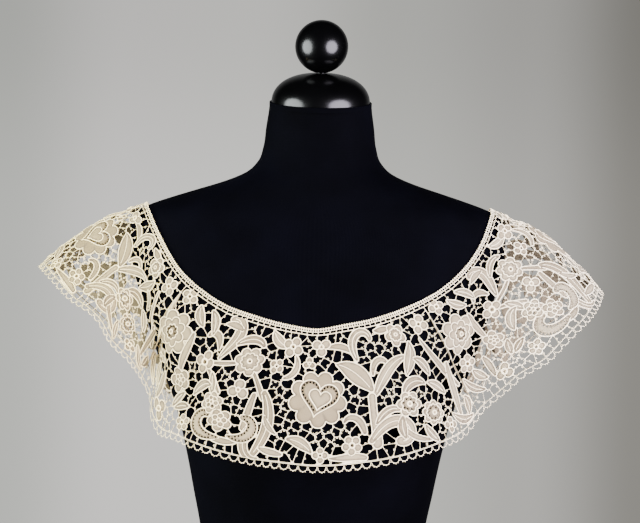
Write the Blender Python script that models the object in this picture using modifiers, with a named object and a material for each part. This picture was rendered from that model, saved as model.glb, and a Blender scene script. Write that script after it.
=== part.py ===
"""Bertha collar of needle lace, worn on a limbless dress form.

The collar is cut flat as a wide ring sector, measured by an angle (0 at the
centre front, positive towards the viewer's right) and a depth (0 at the neck,
growing towards the hem).  collar_point() drapes that flat cut over the form.
The lace walls are triangulated in the flat, with their gaps cut out and their
motifs raised, and are then draped.  Lengths in the tables are millimetres.
"""
import math
from collections import namedtuple

import bpy
import bmesh
import numpy as np
from mathutils import Vector
from mathutils.geometry import delaunay_2d_cdt

MM = 0.001

# Dress form
FORM_AROUND = 24
CAP_TILT = math.radians(10.0)
CAP_SEAT = 617.0
CAP_RADIUS = 50.0
CAP_RIM = 4.0
CAP_DOME = 29.0
BALL_RADIUS = 26.5
BALL_CENTRE = 59.5
DOWEL_RADIUS = 5.0
SEAT_GAP = 0.3
WAIST_TOP = 240
WAIST_STEP = 30

# Flat cut of the collar
FAN = 0.7135
NECK_RADIUS = 236.0
COLLAR_DEPTH = 142.0
BAND_DEPTH = 7.0
EDGE_LINE = 133.0
SEAM = 0.36
SEAM_ANGLE = 39.3
PIECE_HALF = 45.0
SCALLOPS = 48
SEAM_STEPS = 15

# Walls
CLEAR = 1.9
BAND_CLEAR = 0.7
NET_WALL = 1.4
BAND_WALL = 1.7
MOTIF_RISE = 1.0
MOTIF_BEVEL = 1.6
RAISED_BLOOM = 8.5
LARGE_BLOOM = 18.0
RAISED_LEAF = 200.0
PETAL_SPREAD = 1.08
CROWN_PETALS = 5
CROWN_SHARE = 0.62
LEAF_STEP = 11.0
LEAF_CROWN_STEP = 12.0
LEAF_END = 0.8
MOTIF_REACH = 12.0
SETTLE_FULL = 8.0
SETTLE_END = 45.0

# Net
BAR = 1.5
OUTLINE_KEEP = 1.0
GAP_RADII = (4.6, 4.1, 3.6, 3.2)
GAP_REACH = 1.75
GAP_CORNERS = 5
GAP_RAYS = 15
GAPS_A_PIECE = 58
SMALLEST_GAP = 4.2
SEED_GRID = 1.6
SEED_JITTER = 0.4
LEAST_REACH = 0.8
NET_SEED = 11

# Mesh
FENCE_STEP = 1.2
OUTLINE_APART = 0.8
CROWN_APART = 1.0
POINT_APART = 1.8
OUTER_APART = 5.0
INNER_APART = 7.0
GRID_ROW = 0.87
RIDGE_GRID = 8.5
RIDGE_DEPTH = 46.0
WIDE_GRID = 18.0
BAND_STEP = 5.0
RIDGE_STEP = 2.0
RIDGE_ANGLES = (80.0, 108.0)

# Hem edging
SCALLOP_ROOT = 3.2

BUST = namedtuple("BUST", "height half_width front back squareness")
FORM = [
    BUST(0, 160, 98, 120, 2.2),
    BUST(45, 163, 100, 131, 2.2),
    BUST(95, 143, 97, 116, 2.2),
    BUST(130, 119, 92, 94, 2.1),
    BUST(160, 108, 89, 81, 2.1),
    BUST(195, 112, 95, 80, 2.1),
    BUST(230, 119, 107, 84, 2.15),
    BUST(265, 126, 121, 89, 2.2),
    BUST(295, 133, 129, 94, 2.25),
    BUST(320, 140, 131, 98, 2.3),
    BUST(350, 152, 126, 102, 2.35),
    BUST(385, 164, 114, 105, 2.4),
    BUST(420, 175, 100, 105, 2.45),
    BUST(450, 183, 88, 101, 2.5),
    BUST(475, 187, 78, 95, 2.5),
    BUST(495, 187, 70, 89, 2.4),
    BUST(505, 184, 67, 86, 2.3),
    BUST(511, 178, 65, 83, 2.2),
    BUST(517, 165, 63, 80, 2.1),
    BUST(524, 145, 61, 77, 2.05),
    BUST(532, 120, 59, 73, 2.0),
    BUST(540, 95, 57, 69, 2.0),
    BUST(549, 74, 55, 64, 2.0),
    BUST(560, 62, 53, 59, 2.0),
    BUST(575, 56.5, 51, 55, 2.0),
    BUST(595, 54, 50, 52, 2.0),
    BUST(612, 51.5, 49, 49.5, 2.0),
]

# One row for each section of the drape: the cut's angle, then where its neck
# edge, its middle and its hem lie.  Rows -60 to -33 are the left arm fold.
DRAPE = namedtuple("DRAPE", "angle neck middle hem")
DRAPES = [
    DRAPE(-179, (-2, 106, 415), (-2, 108, 343), (-2, 111, 272)),
    DRAPE(-167, (-38, 105, 418), (-51, 107, 347), (-59, 110, 277)),
    DRAPE(-155, (-74, 101, 425), (-98, 100, 360), (-113, 99, 290)),
    DRAPE(-143, (-103, 94, 437), (-136, 87, 381), (-154, 80, 316)),
    DRAPE(-134, (-125, 85, 451), (-163, 74, 403), (-177, 82, 348)),
    DRAPE(-126, (-142, 74, 468), (-184, 63, 427), (-203, 92, 374)),
    DRAPE(-118, (-154, 62, 484), (-201, 54, 449), (-232, 90, 400)),
    DRAPE(-111, (-164, 47, 500), (-215, 42, 468), (-258, 74, 422)),
    DRAPE(-105, (-170, 26, 513), (-224, 26, 484), (-274, 48, 440)),
    DRAPE(-98, (-171, 0, 517), (-227, 8, 492), (-281, 18, 449)),
    DRAPE(-90, (-165, -33, 507), (-220, -14, 483), (-273, -16, 443)),
    DRAPE(-80, (-157, -49, 490), (-203, -34, 459), (-247, -54, 421)),
    DRAPE(-69, (-147, -60, 472), (-184, -46, 432), (-212, -80, 394)),
    DRAPE(-59, (-135, -70, 454), (-166, -50, 407), (-190, -74, 362)),
    DRAPE(-51, (-122, -78, 441), (-152, -55, 388), (-171, -57, 342)),
    DRAPE(-45, (-109, -85, 431), (-140, -64, 374), (-160, -51, 315)),
    DRAPE(-39, (-95, -91, 422), (-127, -80, 360), (-153, -64, 289)),
    DRAPE(-33, (-80, -97, 415), (-112, -95, 349), (-138, -84, 285)),
    DRAPE(-25, (-61, -103, 409), (-90, -108, 341), (-110, -110, 276)),
    DRAPE(-17, (-40, -107, 403), (-59, -118, 334), (-73, -124, 267)),
    DRAPE(-8, (-18, -111, 399), (-28, -125, 331), (-35, -131, 262)),
    DRAPE(0, (2, -112, 397), (3, -128, 330), (4, -134, 259)),
    DRAPE(9, (27, -110, 402), (37, -126, 332), (45, -131, 263)),
    DRAPE(18, (50, -107, 407), (71, -118, 338), (88, -121, 271)),
    DRAPE(27, (71, -100, 413), (100, -105, 347), (125, -99, 283)),
    DRAPE(34, (86, -95, 419), (118, -92, 356), (147, -78, 293)),
    DRAPE(41, (103, -88, 427), (136, -76, 370), (167, -67, 318)),
    DRAPE(50, (121, -79, 438), (158, -63, 390), (199, -79, 346)),
    DRAPE(58, (137, -69, 452), (181, -56, 408), (229, -80, 369)),
    DRAPE(67, (150, -60, 467), (204, -47, 434), (261, -57, 397)),
    DRAPE(76, (161, -48, 486), (221, -30, 459), (281, -27, 419)),
    DRAPE(85, (168, -33, 506), (229, -6, 482), (286, 5, 431)),
    DRAPE(94, (171, 0, 517), (230, 20, 488), (284, 38, 431)),
    DRAPE(101, (170, 26, 513), (229, 38, 478), (277, 66, 420)),
    DRAPE(107, (164, 47, 500), (221, 51, 463), (262, 86, 406)),
    DRAPE(114, (154, 62, 484), (206, 60, 446), (238, 98, 388)),
    DRAPE(122, (142, 74, 468), (188, 67, 426), (211, 98, 366)),
    DRAPE(131, (125, 85, 451), (166, 76, 403), (184, 88, 343)),
    DRAPE(141, (103, 94, 437), (137, 87, 381), (157, 84, 315)),
    DRAPE(153, (74, 101, 425), (98, 100, 360), (114, 100, 290)),
    DRAPE(166, (38, 105, 418), (51, 107, 347), (59, 110, 277)),
]

# The design repeats once in each quarter of the collar: angles run from -45 to 45.

# Flowers: place in the quarter, radius, number of petals, turn of the petals.
BLOOM = namedtuple("BLOOM", "angle depth radius petals turn")
BLOOMS = [
    BLOOM(0, 71, 25, 9, 10),
    BLOOM(-8, 22, 10, 4, 20),
    BLOOM(1, 20, 9, 3, 90),
    BLOOM(-19.5, 43, 12.5, 7, 0),
    BLOOM(-32, 55, 10, 4, 45),
    BLOOM(-20, 70, 9, 3, 30),
    BLOOM(-25.5, 89, 10.5, 6, 0),
    BLOOM(-22.5, 104, 10.5, 5, 20),
    BLOOM(0.5, 124, 7, 4, 45),
    BLOOM(7.5, 116, 9, 5, 10),
    BLOOM(25, 21, 10.5, 5, 0),
    BLOOM(22, 87, 12, 6, 15),
    BLOOM(27.5, 103, 11.5, 8, 0),
    BLOOM(34.5, 20, 9, 4, 10),
    BLOOM(43, 13, 8, 4, 40),
    BLOOM(45, 50, 20, 7, 0),
    BLOOM(-40.5, 121, 9, 3, 0),
    BLOOM(-37.5, 84, 11, 5, 30),
]

# Leaves and scrolls: place and heading of the root (0 to the right, 90 to the
# neck), length, turn in the first and second half, width at root, middle, tip.
LEAF = namedtuple("LEAF", "angle depth heading length turn_a turn_b root middle tip")
LEAVES = [
    LEAF(-28, 47, 72, 50, 15, 120, 3, 10, 5),
    LEAF(-24.5, 30, 45, 27, -25, -70, 3, 7, 4),
    LEAF(-29.5, 40, 115, 26, 30, 110, 2, 6, 3),
    LEAF(-29.5, 53, 10, 24, 5, 10, 3, 3.5, 3),
    LEAF(-30, 60, -25, 27, -15, -5, 3, 4, 3),
    LEAF(-17.5, 53, -50, 25, -5, 5, 3, 4, 5),
    LEAF(-13.5, 69, -50, 64, -45, -25, 5, 10, 6),
    LEAF(-16, 72, -100, 34, 0, 5, 4, 6, 6),
    LEAF(-15, 99, 238, 48, 40, 105, 6, 8, 4),
    LEAF(-24, 122, -15, 26, 20, 10, 2, 6, 2),
    LEAF(-7.5, 126, 175, 24, -5, -10, 3, 6, 2),
    LEAF(-6.5, 31, -60, 28, -50, -60, 2, 5, 3),
    LEAF(-10.5, 22, 165, 21, -25, -25, 5, 9, 1.5),
    LEAF(3.5, 21, 15, 24, -35, -25, 3, 6, 2),
    LEAF(11, 36, 105, 44, -50, -150, 3, 7, 4),
    LEAF(13.3, 65, 118, 40, 15, 25, 5, 15, 2),
    LEAF(14.5, 52, 80, 26, -45, -120, 2.5, 5, 3),
    LEAF(14.2, 70, 55, 48, -12, -35, 4, 9, 4),
    LEAF(13.2, 72, 263, 46, 8, -8, 6, 6, 8),
    LEAF(10.6, 105, 100, 30, 35, 110, 4, 6, 3),
    LEAF(13.5, 98, 50, 27, -20, -65, 3, 7, 4),
    LEAF(11.8, 114, 48, 66, -60, -190, 5, 10, 8),
    LEAF(19.3, 108, -68, 34, 35, 25, 4, 5, 2),
    LEAF(2.5, 127, -5, 34, 8, -15, 2, 6, 5),
    LEAF(28.2, 32, -97, 32, -30, 5, 3, 10, 2),
    LEAF(32.5, 33, -80, 64, 12, 0, 2, 5, 3),
    LEAF(37, 66, -92, 58, -10, 8, 3, 6, 2),
    LEAF(19.5, 98, 240, 20, 25, 15, 4, 8, 3),
    LEAF(24.5, 113, -80, 19, 15, 10, 3, 7, 3),
    LEAF(21.5, 76, 65, 30, -55, -55, 4, 9, 3),
    LEAF(-26.5, 79, 100, 18, 10, 10, 4, 7, 3),
    LEAF(-22, 121, 192, 48, -60, -150, 3, 10, 6),
    LEAF(-20, 117, -8, 44, 70, 135, 3, 10, 6),
    LEAF(-36.5, 108, 75, 17, -10, -10, 3, 7, 3),
    LEAF(-35.5, 109, 40, 17, -15, -15, 3, 7, 3),
    LEAF(-34, 30, 100, 22, 20, 30, 2, 7, 3),
    LEAF(-39, 40, -80, 36, -10, 10, 3, 6, 3),
    LEAF(-42.5, 92, -80, 24, -10, -10, 3, 6, 3),
    LEAF(-31.5, 16, 20, 20, -20, -20, 2, 6, 3),
    LEAF(18.5, 12, -10, 17, 10, 10, 2, 6, 2),
    LEAF(40, 95, -80, 30, 20, 30, 2, 7, 3),
    LEAF(33, 113, -60, 28, 20, 40, 2, 7, 3),
    LEAF(-12.5, 90, -70, 22, 20, 20, 2, 5, 2),
]

PIECE = namedtuple("PIECE", "name edging quarter")
PIECES = [
    PIECE("lace_front", "hem_front", 0),
    PIECE("lace_shoulder_right", "hem_shoulder_right", 1),
    PIECE("lace_back", "hem_back", 2),
    PIECE("lace_shoulder_left", "hem_shoulder_left", 3),
]


def clear_scene():
    for item in list(bpy.data.objects):
        bpy.data.objects.remove(item, do_unlink=True)


def finish(name, colour, roughness, sheen=0.0):
    material = bpy.data.materials.new(name)
    material.use_nodes = True
    shader = material.node_tree.nodes["Principled BSDF"]
    shader.inputs["Base Color"].default_value = (*colour, 1.0)
    shader.inputs["Roughness"].default_value = roughness
    shader.inputs["Metallic"].default_value = 0.0
    shader.inputs["Sheen Weight"].default_value = sheen
    return material


def add_mesh(name, points, faces, material, collection, smooth_under=None):
    mesh = bpy.data.meshes.new(name)
    mesh.from_pydata([tuple(point) for point in points], [], faces)
    mesh.update()
    shell = bmesh.new()
    shell.from_mesh(mesh)
    bmesh.ops.recalc_face_normals(shell, faces=shell.faces)
    shell.to_mesh(mesh)
    shell.free()
    if smooth_under is not None:
        mesh.shade_smooth()
        mesh.set_sharp_from_angle(angle=math.radians(smooth_under))
    mesh.materials.append(material)
    item = bpy.data.objects.new(name, mesh)
    collection.objects.link(item)
    return item


# Dress form surface

def through(heights, values, height):
    """Smooth curve through a column of the form table, flat at its peaks."""
    steps = np.diff(heights)
    slopes = np.diff(values) / steps
    tangents = np.empty_like(values)
    tangents[0] = slopes[0]
    tangents[-1] = slopes[-1]
    tangents[1:-1] = (slopes[:-1] * steps[1:] + slopes[1:] * steps[:-1]) / (steps[1:] + steps[:-1])
    tangents[1:-1][slopes[:-1] * slopes[1:] <= 0] = 0
    height = np.clip(height, heights[0], heights[-1])
    row = np.clip(np.searchsorted(heights, height) - 1, 0, len(heights) - 2)
    t = (height - heights[row]) / steps[row]
    return ((2 * t**3 - 3 * t**2 + 1) * values[row]
            + (t**3 - 2 * t**2 + t) * steps[row] * tangents[row]
            + (-2 * t**3 + 3 * t**2) * values[row + 1]
            + (t**3 - t**2) * steps[row] * tangents[row + 1])


FORM_COLUMNS = np.array(FORM, float).T


def form_excess(points):
    """How far outside the form a point is, as a share of the section's size."""
    heights = FORM_COLUMNS[0]
    width, front, back, square = (through(heights, column, points[..., 2]) for column in FORM_COLUMNS[1:])
    depth = np.where(points[..., 1] < 0, front, back)
    return ((np.abs(points[..., 0]) / width)**square
            + (np.abs(points[..., 1]) / depth)**square)**(1 / square) - 1


def form_distance(points, probe=0.5):
    """Distance to the form and the direction away from it, to first order."""
    slope = np.stack([(form_excess(points + axis * probe) - form_excess(points - axis * probe)) / (2 * probe)
                      for axis in np.eye(3)], -1)
    steep = np.linalg.norm(slope, axis=-1) + 1e-9
    return form_excess(points) / steep, slope / steep[..., None]


def keep_clear(points, gap, rounds=12, longest=15.0, share=0.9):
    for _ in range(rounds):
        distance, away = form_distance(points)
        short = np.clip(gap - distance, 0, longest)
        points = points + (share * short)[..., None] * away
    return points


# Drape of the collar

DRAPE_ANGLES = np.array([row.angle for row in DRAPES], float)
DRAPE_POINTS = np.array([(*row.neck, *row.middle, *row.hem) for row in DRAPES], float)


def drape_rows(angle):
    """Neck, middle and hem point at an angle, on a closed curve through the table."""
    angles = np.r_[DRAPE_ANGLES[-2:] - 360, DRAPE_ANGLES, DRAPE_ANGLES[:2] + 360]
    points = np.r_[DRAPE_POINTS[-2:], DRAPE_POINTS, DRAPE_POINTS[:2]]
    angle = (np.asarray(angle, float) + 180) % 360 - 180
    row = np.clip(np.searchsorted(angles, angle, side="right") - 1, 1, len(angles) - 3)
    step = (angles[row + 1] - angles[row])[..., None]
    t = (angle - angles[row])[..., None] / step
    before = (points[row + 1] - points[row - 1]) / (angles[row + 1] - angles[row - 1])[..., None] * step
    after = (points[row + 2] - points[row]) / (angles[row + 2] - angles[row])[..., None] * step
    return ((2 * t**3 - 3 * t**2 + 1) * points[row] + (t**3 - 2 * t**2 + t) * before
            + (-2 * t**3 + 3 * t**2) * points[row + 1] + (t**3 - t**2) * after)


def collar_point(angle, depth, gap=CLEAR):
    """Inner surface of the collar, never nearer to the form than the gap."""
    rows = drape_rows(angle)
    depth = np.asarray(depth, float)
    u = (depth / COLLAR_DEPTH)[..., None]
    points = (rows[..., 0:3] * (1 - u) * (1 - 2 * u) + rows[..., 3:6] * 4 * u * (1 - u)
              + rows[..., 6:9] * u * (2 * u - 1))
    points = keep_clear(points, gap)
    distance, away = form_distance(points)
    free = np.clip((depth - SETTLE_FULL) / (SETTLE_END - SETTLE_FULL), 0, 1)
    settle = 1 - free * free * (3 - 2 * free)
    return keep_clear(points + ((gap - distance) * settle)[..., None] * away, gap, 4)


def drape(angle, depth, height, gap=CLEAR, probe=1.2):
    """Collar point raised by a height along the outward normal."""
    turn = probe / (FAN * NECK_RADIUS) * 180 / math.pi
    across = collar_point(angle + turn, depth, gap) - collar_point(angle - turn, depth, gap)
    down = collar_point(angle, depth + probe, gap) - collar_point(angle, depth - probe, gap)
    normal = np.cross(down, across)
    normal /= np.linalg.norm(normal, axis=-1, keepdims=True)
    return collar_point(angle, depth, gap) + normal * np.asarray(height)[..., None]


# Flat cut, the same for all four pieces: one quarter of the ring

def flat(angle, depth):
    """Place in the flat cut, for an angle counted from the piece's middle."""
    a = np.radians(np.asarray(angle, float) * FAN)
    radius = NECK_RADIUS + np.asarray(depth, float)
    return np.stack([radius * np.sin(a), -radius * np.cos(a)], -1)


def unflat(points):
    angle = np.degrees(np.arctan2(points[..., 0], -points[..., 1])) / FAN
    return angle, np.hypot(points[..., 0], points[..., 1]) - NECK_RADIUS


def middle_angle(piece):
    return SEAM_ANGLE - PIECE_HALF + 90.0 * piece.quarter


def bloom_outline(row, points_per_petal):
    """Union of a ring of round petals, as a radius for each direction."""
    half = math.pi / row.petals
    around = np.arange(row.petals * points_per_petal) * 2 * half / points_per_petal
    from_middle = around % (2 * half) - half
    seat = row.radius / (1 + PETAL_SPREAD * math.sin(half))
    petal = row.radius - seat
    radius = seat * np.cos(from_middle) + np.sqrt(np.maximum(petal**2 - (seat * np.sin(from_middle))**2, 0))
    around = around + math.radians(row.turn)
    return np.stack([np.cos(around), np.sin(around)], -1) * radius[:, None]


def leaf_line(row, steps):
    """Bending centre line of a leaf or scroll, its side direction and half width."""
    s = np.linspace(0, 1, steps)
    bend = (3 * row.turn_a - row.turn_b) * s + 2 * (row.turn_b - row.turn_a) * s * s
    heading = np.radians(row.heading + bend)
    forward = np.stack([np.cos(heading), np.sin(heading)], -1)
    stride = (forward[1:] + forward[:-1]) / 2 * row.length / (steps - 1)
    line = np.r_[np.zeros((1, 2)), np.cumsum(stride, 0)]
    width = (row.root * (1 - s) * (1 - 2 * s) + row.middle * 4 * s * (1 - s) + row.tip * s * (2 * s - 1))
    return line, forward, width / 2


def leaf_outline(row, steps):
    line, forward, half = leaf_line(row, steps)
    side = np.stack([-forward[:, 1], forward[:, 0]], -1) * half[:, None]
    start = line[0] - forward[0] * half[0] * LEAF_END
    end = line[-1] + forward[-1] * half[-1] * LEAF_END
    return np.r_[start[None], line - side, end[None], (line + side)[::-1]]


def placed(angle, depth, outline):
    a = math.radians(angle * FAN)
    turn = np.array([[math.cos(a), math.sin(a)], [-math.sin(a), math.cos(a)]])
    return flat(angle, depth) + outline @ turn


MOTIF = namedtuple("MOTIF", "outline crown raised")


def motifs_of_piece():
    """Motifs that reach the piece, each with the points of its raised crown."""
    found = []
    for turn in (-90, 0, 90):
        for row in BLOOMS + LEAVES:
            angle = row.angle - SEAM_ANGLE + PIECE_HALF + turn
            if abs(angle) > PIECE_HALF + MOTIF_REACH:
                continue
            if isinstance(row, BLOOM):
                outline = bloom_outline(row, 3 if row.radius > LARGE_BLOOM else 2)
                crown = bloom_outline(row._replace(petals=CROWN_PETALS, radius=row.radius * CROWN_SHARE), 1)
                raised = row.radius >= RAISED_BLOOM
            else:
                outline = leaf_outline(row, max(3, round(row.length / LEAF_STEP)))
                crown = leaf_line(row, max(3, round(row.length / LEAF_CROWN_STEP)))[0]
                raised = row.middle * row.length >= RAISED_LEAF
            found.append(MOTIF(placed(angle, row.depth, outline), placed(angle, row.depth, crown), raised))
    return found


def inside(points, outline):
    """Even-odd test of many points against one closed outline."""
    x, y = points[:, 0, None], points[:, 1, None]
    ax, ay = outline[:, 0], outline[:, 1]
    bx, by = np.roll(ax, -1), np.roll(ay, -1)
    crosses = (ay > y) != (by > y)
    slope = np.where(by == ay, 1, by - ay)
    return (crosses & (x < (bx - ax) * (y - ay) / slope + ax)).sum(1) % 2 == 1


def walk(outline, step, closed=True):
    """Points along an outline, about one step apart."""
    ends = np.roll(outline, -1, axis=0) if closed else outline[1:]
    starts = outline if closed else outline[:-1]
    found = []
    for start, end in zip(starts, ends):
        count = max(1, int(np.linalg.norm(end - start) / step))
        found.append(start + (end - start) * (np.arange(count) / count)[:, None])
    return np.concatenate(found)


def nearest(points, marks, block=400):
    found = np.empty(len(points))
    for first in range(0, len(points), block):
        part = points[first:first + block]
        found[first:first + block] = np.sqrt(((part[:, None] - marks[None])**2).sum(2).min(1))
    return found


def outline_between(sides, lower, upper):
    """Closed outline from the seams' depths and the two rims' angles and depths."""
    seam_sides = []
    for sign in (-1, 1):
        a = math.radians(PIECE_HALF * FAN) * sign
        out = np.array([math.sin(a), -math.cos(a)])
        inward = -sign * np.array([math.cos(a), math.sin(a)])
        seam_sides.append((NECK_RADIUS + sides)[:, None] * out + inward * SEAM / 2)
    return np.concatenate([seam_sides[0], flat(*lower), seam_sides[1][::-1], flat(*upper)])


def scallop_angles(per_scallop):
    return np.linspace(-PIECE_HALF, PIECE_HALF, SCALLOPS * per_scallop + 1)[1:-1]


def piece_border():
    """Border of a lace piece: two seams, the neck band's rim and the hem line."""
    rim = scallop_angles(1)
    sides = np.linspace(BAND_DEPTH + SEAM, EDGE_LINE - SEAM, SEAM_STEPS)
    lower = (rim, np.full(len(rim), sides[-1]))
    upper = (rim[::-1], np.full(len(rim), sides[0]))
    return outline_between(sides, lower, upper)


def edging_border():
    """Border of a hem edging: straight above, one bump for each scallop below."""
    rim = scallop_angles(1)
    waves = scallop_angles(2)
    depths = np.where(np.arange(len(waves)) % 2 == 0, COLLAR_DEPTH, EDGE_LINE + SCALLOP_ROOT)
    sides = np.array([EDGE_LINE, EDGE_LINE + SCALLOP_ROOT])
    return outline_between(sides, (waves, depths), (rim[::-1], np.full(len(rim), EDGE_LINE)))


def pack_seeds(motifs, border):
    """Round seeds packed between the motifs, the largest first."""
    outlines = [motif.outline for motif in motifs] + [border]
    marks = np.concatenate([walk(outline, FENCE_STEP) for outline in outlines])
    low, high = border.min(0), border.max(0)
    random = np.random.default_rng(NET_SEED)
    columns, rows = np.meshgrid(np.arange(low[0], high[0], SEED_GRID),
                                np.arange(low[1], high[1], SEED_GRID))
    seeds = np.stack([columns.ravel(), rows.ravel()], -1)
    seeds += random.uniform(-SEED_JITTER, SEED_JITTER, seeds.shape) * SEED_GRID
    seeds = seeds[inside(seeds, border)]
    for motif in motifs:
        seeds = seeds[~inside(seeds, motif.outline)]
    random.shuffle(seeds)
    room = nearest(seeds, marks) - OUTLINE_KEEP
    chosen, sizes = [], []
    for radius in GAP_RADII:
        for index in np.nonzero(room >= radius)[0]:
            if room[index] < radius:
                continue
            chosen.append(seeds[index])
            sizes.append(radius)
            room = np.minimum(room, np.linalg.norm(seeds - seeds[index], axis=1) - radius - BAR)
    return np.array(chosen), np.array(sizes), marks


def net_gaps(motifs, border):
    """Gaps of the needle net: each seed grown to its neighbours less a bar."""
    seeds, sizes, marks = pack_seeds(motifs, border)
    rays = np.arange(GAP_RAYS) * 2 * math.pi / GAP_RAYS
    rays = np.stack([np.cos(rays), np.sin(rays)], -1)
    gaps = []
    for centre, size in zip(seeds, sizes):
        reach = np.full(GAP_RAYS, size * GAP_REACH)
        offset = seeds - centre
        distance = np.linalg.norm(offset, axis=1)
        close = (distance > 0) & (distance < 4 * GAP_RADII[0])
        wall = size + (distance[close] - size - sizes[close] - BAR) / 2
        facing = rays @ (offset[close] / distance[close, None]).T
        blocked = np.where(facing > 0.05, wall / np.maximum(facing, 0.05), 1e3)
        reach = np.minimum(reach, blocked.min(1, initial=1e3))
        near = marks[np.linalg.norm(marks - centre, axis=1) < size * GAP_REACH + OUTLINE_KEEP] - centre
        along = rays @ near.T
        aside = (near**2).sum(1) - along**2
        meets = (along > 0) & (aside < OUTLINE_KEEP**2)
        touch = along - np.sqrt(np.maximum(OUTLINE_KEEP**2 - aside, 0))
        reach = np.minimum(reach, np.where(meets, touch, 1e3).min(1, initial=1e3))
        gap = centre + rays * np.maximum(reach, size * LEAST_REACH)[:, None]
        while len(gap) > GAP_CORNERS:
            before, after = np.roll(gap, 1, axis=0), np.roll(gap, -1, axis=0)
            loss = np.abs(np.cross(gap - before, after - gap))
            gap = np.delete(gap, loss.argmin(), axis=0)
        gaps.append(gap)
    return gaps


def gap_area(gap):
    after = np.roll(gap, -1, axis=0)
    return abs(np.cross(gap, after).sum()) / 2


def gap_span(gap):
    middle = gap.mean(0)
    return 2 * np.linalg.norm((gap + np.roll(gap, -1, axis=0)) / 2 - middle, axis=1).min()


def triangulate(points, edges, holes, outline):
    """Triangles of the flat wall, less those in a gap or past the border."""
    result = delaunay_2d_cdt([Vector(point) for point in points], edges, [], 1, 1e-5, False)
    corners = np.array([tuple(corner) for corner in result[0]])
    faces = np.array([face for face in result[2]])
    middles = corners[faces].mean(1)
    keep = inside(middles, outline)
    for hole in holes:
        low, high = hole.min(0), hole.max(0)
        near = np.nonzero(((middles >= low) & (middles <= high)).all(1))[0]
        keep[near] &= ~inside(middles[near], hole)
    return corners, faces[keep]


def grid(border, step):
    """Points inside the border, in staggered rows."""
    low, high = border.min(0), border.max(0)
    rows = []
    for i, y in enumerate(np.arange(low[1] + step / 2, high[1], step * GRID_ROW)):
        x = np.arange(low[0] + step * (0.25 + 0.5 * (i % 2)), high[0], step)
        rows.append(np.stack([x, np.full(len(x), y)], -1))
    points = np.concatenate(rows)
    return points[inside(points, border)]


def crown_height(points, motifs):
    """Height of the outer side: a bevel up from each outline to its crown."""
    height = np.zeros(len(points))
    for motif in motifs:
        if not motif.raised:
            continue
        low, high = motif.outline.min(0), motif.outline.max(0)
        near = np.nonzero(((points > low) & (points < high)).all(1))[0]
        near = near[inside(points[near], motif.outline)]
        if len(near):
            inward = nearest(points[near], walk(motif.outline, MOTIF_BEVEL / 3))
            rise = np.clip(inward / MOTIF_BEVEL, 0, 1) * MOTIF_RISE
            height[near] = np.maximum(height[near], rise)
    return height


WALL = namedtuple("WALL", "outer inner heights faces")


def flat_wall(border, gaps, motifs):
    """Closed wall in the flat: an outer side with raised motifs, a plain inner
    side, and a rim round the border and each gap."""
    loops = [border] + gaps
    points = np.concatenate(loops)
    edges = []
    for loop in loops:
        first = len(edges)
        edges += [(first + i, first + (i + 1) % len(loop)) for i in range(len(loop))]
    fence = np.concatenate([walk(loop, FENCE_STEP) for loop in loops])
    raised = [motif for motif in motifs if motif.raised]
    shapes = [(motif.outline, OUTLINE_APART) for motif in raised]
    shapes += [(motif.crown, CROWN_APART) for motif in raised]
    for shape, apart in shapes:
        keep = inside(shape, border) & (nearest(shape, fence) > apart)
        keep &= nearest(shape, points) > POINT_APART
        points = np.concatenate([points, shape[keep]])
    outer_grid = add_grids(points, fence, border, gaps, OUTER_APART)
    points = np.concatenate([points, outer_grid])
    outer, outer_faces = triangulate(points, edges, gaps, border)

    # The rim's edges are those that only one triangle uses.
    sides = np.concatenate([outer_faces[:, [0, 1]], outer_faces[:, [1, 2]], outer_faces[:, [2, 0]]])
    named, uses = np.unique(np.sort(sides, axis=1), axis=0, return_counts=True)
    rim_edges = named[uses == 1]
    rim_points = np.unique(rim_edges)
    lower = outer[rim_points]
    lower_edges = np.searchsorted(rim_points, rim_edges).tolist()
    lower = np.concatenate([lower, add_grids(lower, fence, border, gaps, INNER_APART)])
    inner, inner_faces = triangulate(lower, lower_edges, gaps, border)

    pair = {int(i): int(((inner - outer[i])**2).sum(1).argmin()) + len(outer) for i in rim_points}
    faces = outer_faces.tolist() + (inner_faces[:, ::-1] + len(outer)).tolist()
    directed = set(map(tuple, sides.tolist()))
    for a, b in rim_edges.tolist():
        if (a, b) not in directed:
            a, b = b, a
        # Walls that face each other at a seam are split along the same diagonal.
        lead = np.hypot(*outer[b]) - np.hypot(*outer[a])
        if abs(lead) < 0.5:
            lead = outer[b][0] - outer[a][0]
        corner = (pair[a], b) if lead > 0 else (pair[b], a)
        faces.append((b, a, corner[0]))
        faces.append((pair[a], pair[b], corner[1]))
    return WALL(outer, inner, NET_WALL + crown_height(outer, motifs), faces)


def add_grids(points, fence, border, gaps, apart):
    """Points that let the wall bend: close ones over the shoulder's ridge,
    wide ones elsewhere."""
    ridge = grid(border, RIDGE_GRID)
    ridge = ridge[unflat(ridge)[1] < RIDGE_DEPTH]
    added = np.zeros((0, 2))
    for extra, space in ((ridge, apart - 0.8), (grid(border, WIDE_GRID), apart)):
        taken = np.concatenate([points, fence, added])
        extra = extra[nearest(extra, taken) > space]
        for gap in gaps:
            extra = extra[~inside(extra, gap)]
        added = np.concatenate([added, extra])
    return added


def drape_wall(name, piece, wall, material, collection):
    centre = middle_angle(piece)
    angle, depth = unflat(wall.outer)
    top = drape(centre + angle, depth, wall.heights)
    angle, depth = unflat(wall.inner)
    under = drape(centre + angle, depth, np.zeros(len(angle)))
    return add_mesh(name, np.concatenate([top, under]) * MM, wall.faces, material, collection)


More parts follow.
